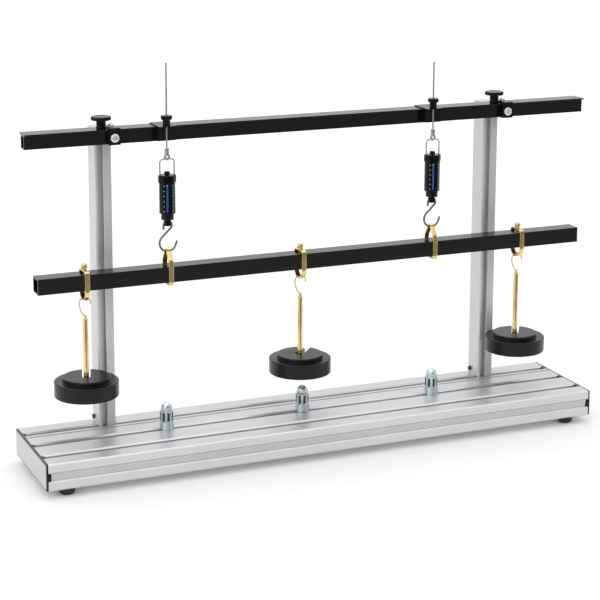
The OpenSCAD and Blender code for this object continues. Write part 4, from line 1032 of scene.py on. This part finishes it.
@dataclass
class WeightSet:
    """Stirrup, screw, hanger and slotted weight of one place."""

    place: Place
    x: float
    disc_z: float
    strap_z: float = 291.1
    half: float = 14.5
    corner_r: float = 4.1
    round_z: float = 262.5
    head_z: float = 292.2
    head_top_z: float = 300.8
    beam_top_z: float = 287.0
    ring_z: float = 243.0
    ring_r: float = 8.6
    ring_low_r: float = 28.0
    ring_wire_r: float = 1.1
    rod_r: float = 3.8
    disc_r: float = 16.0
    disc_t: float = 3.0
    disc_edge: float = 0.7
    ball_r: float = 2.4

    def build(self) -> None:
        """Makes every piece of the set."""
        self.make_stirrup()
        self.make_screw()
        self.make_hanger()
        dress(ENAMELLED_IRON, "weight_" + self.place.value)

    def carrier(self) -> str:
        """Returns the body that the stirrup moves with."""
        return "carrier" if self.place is Place.MIDDLE else "stirrup_" + self.place.value

    def make_stirrup(self) -> None:
        """Bends the strip into a loop with a flat top and a round bottom."""
        x, y, a, c = self.x, HANG_Y, self.half, self.corner_r
        path = np.concatenate([
            arc_yz(x, y, self.round_z, a, 180.0, 360.0, 40),
            arc_yz(x, y + a - c, self.strap_z - c, c, 0.0, 90.0, 10),
            arc_yz(x, y - a + c, self.strap_z - c, c, 90.0, 180.0, 10)])
        strip = swept(even(path, 0.8, closed=True), STRIP, ALONG_BEAM, closed=True)
        make_piece("strip_stirrup_" + self.place.value, [strip], BRASS, self.carrier(),
                   ("weight_stirrup_" + self.place.value,), 50.0)

    def make_screw(self) -> None:
        """Turns the thumb screw: a barrel head, a grooved collar under it and a shank down to the beam."""
        low, high = self.head_z, self.head_top_z
        corners = [(0.0, self.beam_top_z + 0.3), (1.8, self.beam_top_z + 0.3), (2.0, self.beam_top_z + 0.6),
                   (2.0, low + 0.05), (3.6, low + 0.05), (3.6, low + 1.3), (3.1, low + 1.7), (4.5, low + 2.8),
                   (4.5, high - 1.9), (3.2, high), (0.0, high + 0.1)]
        profile = filleted(corners, 0.7)
        make_piece("thumb_screw_" + self.place.value, [turned(profile, self.x, HANG_Y, sides=56)], BRASS,
                   self.carrier(), ("stirrup_screw_" + self.place.value,), 40.0)

    def make_hanger(self) -> None:
        """Bends the hook, sets it in a ball-ended rod and turns the disc under the weight.

        The hook is a half turn of radius r that runs on in a curve of radius R down to the rod's axis.
        """
        x, r, low_r = self.x, self.ring_r, self.ring_low_r
        reach = math.degrees(math.acos(1.0 - r / low_r))
        turn = arc_xz(x, self.ring_z, r, -15.0, 180.0, 52)
        run_on = arc_xz(x - r + low_r, self.ring_z, low_r, 180.0, 182.0 + reach, 30)
        path = even(np.concatenate([turn, run_on[1:]]), 0.7)
        hook = swept(path, circle(self.ring_wire_r, 20), THROUGH_PLANE)
        top = self.ring_z - math.sqrt(2.0 * low_r * r - r * r)
        ball = np.radians(np.linspace(90.0, -50.0, 16))
        disc_r, upper, lower, edge = self.disc_r, self.disc_z, self.disc_z - self.disc_t, self.disc_edge
        profile = np.concatenate([
            np.stack([self.ball_r * np.cos(ball), top + 0.2 + self.ball_r * np.sin(ball)], axis=-1),
            filleted([(1.6, top - 1.7), (1.6, top - 2.2), (2.7, top - 2.6), (self.rod_r, top - 3.9),
                      (self.rod_r, upper), (disc_r - edge, upper), (disc_r, upper - edge),
                      (disc_r, lower + edge), (disc_r - edge, lower), (0.0, lower)], 0.5)])
        profile[0, 0] = 0.0
        make_piece("hook_hanger_" + self.place.value, [hook, turned(profile, x, HANG_Y, sides=56)], BRASS,
                   "hanger_body_" + self.place.value, ("hanger_" + self.place.value,), 40.0)


@dataclass
class Peg:
    """One fluted peg on the base, with painted shade in its flutes."""

    place: Place
    x: float
    body_r: float = 9.8
    flute_r: float = 2.45
    flutes: int = 8
    low_z: float = 51.6
    high_z: float = 67.0
    lip_deg: float = 50.0
    shade_sheet_front: float = 0.06
    shade_sheet_back: float = 0.3

    def build(self) -> None:
        """Dresses the peg and lays painted shade in its flutes."""
        dress(ZINC, "peg_" + self.place.value)
        self.paint_flute_shade()

    def paint_flute_shade(self) -> None:
        """Lays a thin curved dark sheet in each flute as painted shade.

        Its section is the band between two arcs about the flute's own axis, carried straight up.
        """
        arc = np.radians(np.linspace(-self.lip_deg, self.lip_deg, 9))
        middle = self.body_r + self.flute_r / 2.0
        radius = np.repeat([self.flute_r - self.shade_sheet_front, self.flute_r + self.shade_sheet_back], len(arc))
        path = upright(self.x, 0.0, self.low_z, self.high_z, 12)
        surfaces = []
        for turn in np.arange(self.flutes) * 2.0 * math.pi / self.flutes:
            angle = np.concatenate([arc, arc[::-1]]) + turn + math.pi
            across = middle * math.cos(turn) + radius * np.cos(angle)
            along = middle * math.sin(turn) + radius * np.sin(angle)
            surfaces.append(swept(path, np.stack([across, -along], axis=-1), ALONG_BEAM))
        # The sheets are painted shade, darker than the zinc around them
        make_piece("flute_shade_sheets_" + self.place.value, surfaces, FLUTE_SHADE_ZINC, "peg_body_" + self.place.value)


def main() -> None:
    """Builds the studio and every sub-assembly in order."""
    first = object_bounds()
    Studio().build(first[0].z)
    SlottedBase().build()
    Frame().build()
    for side, x in BALANCE_X.items():
        SpringBalance(side, x).build()
    LeverBeam().build()
    for place, (x, disc_z) in WEIGHT_PLACES.items():
        WeightSet(place, x, disc_z).build()
    for place, x in PEG_X.items():
        Peg(place, x).build()


if __name__ == "__main__":
    logging.basicConfig(level=logging.INFO, format="%(message)s")
    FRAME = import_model()
    main()
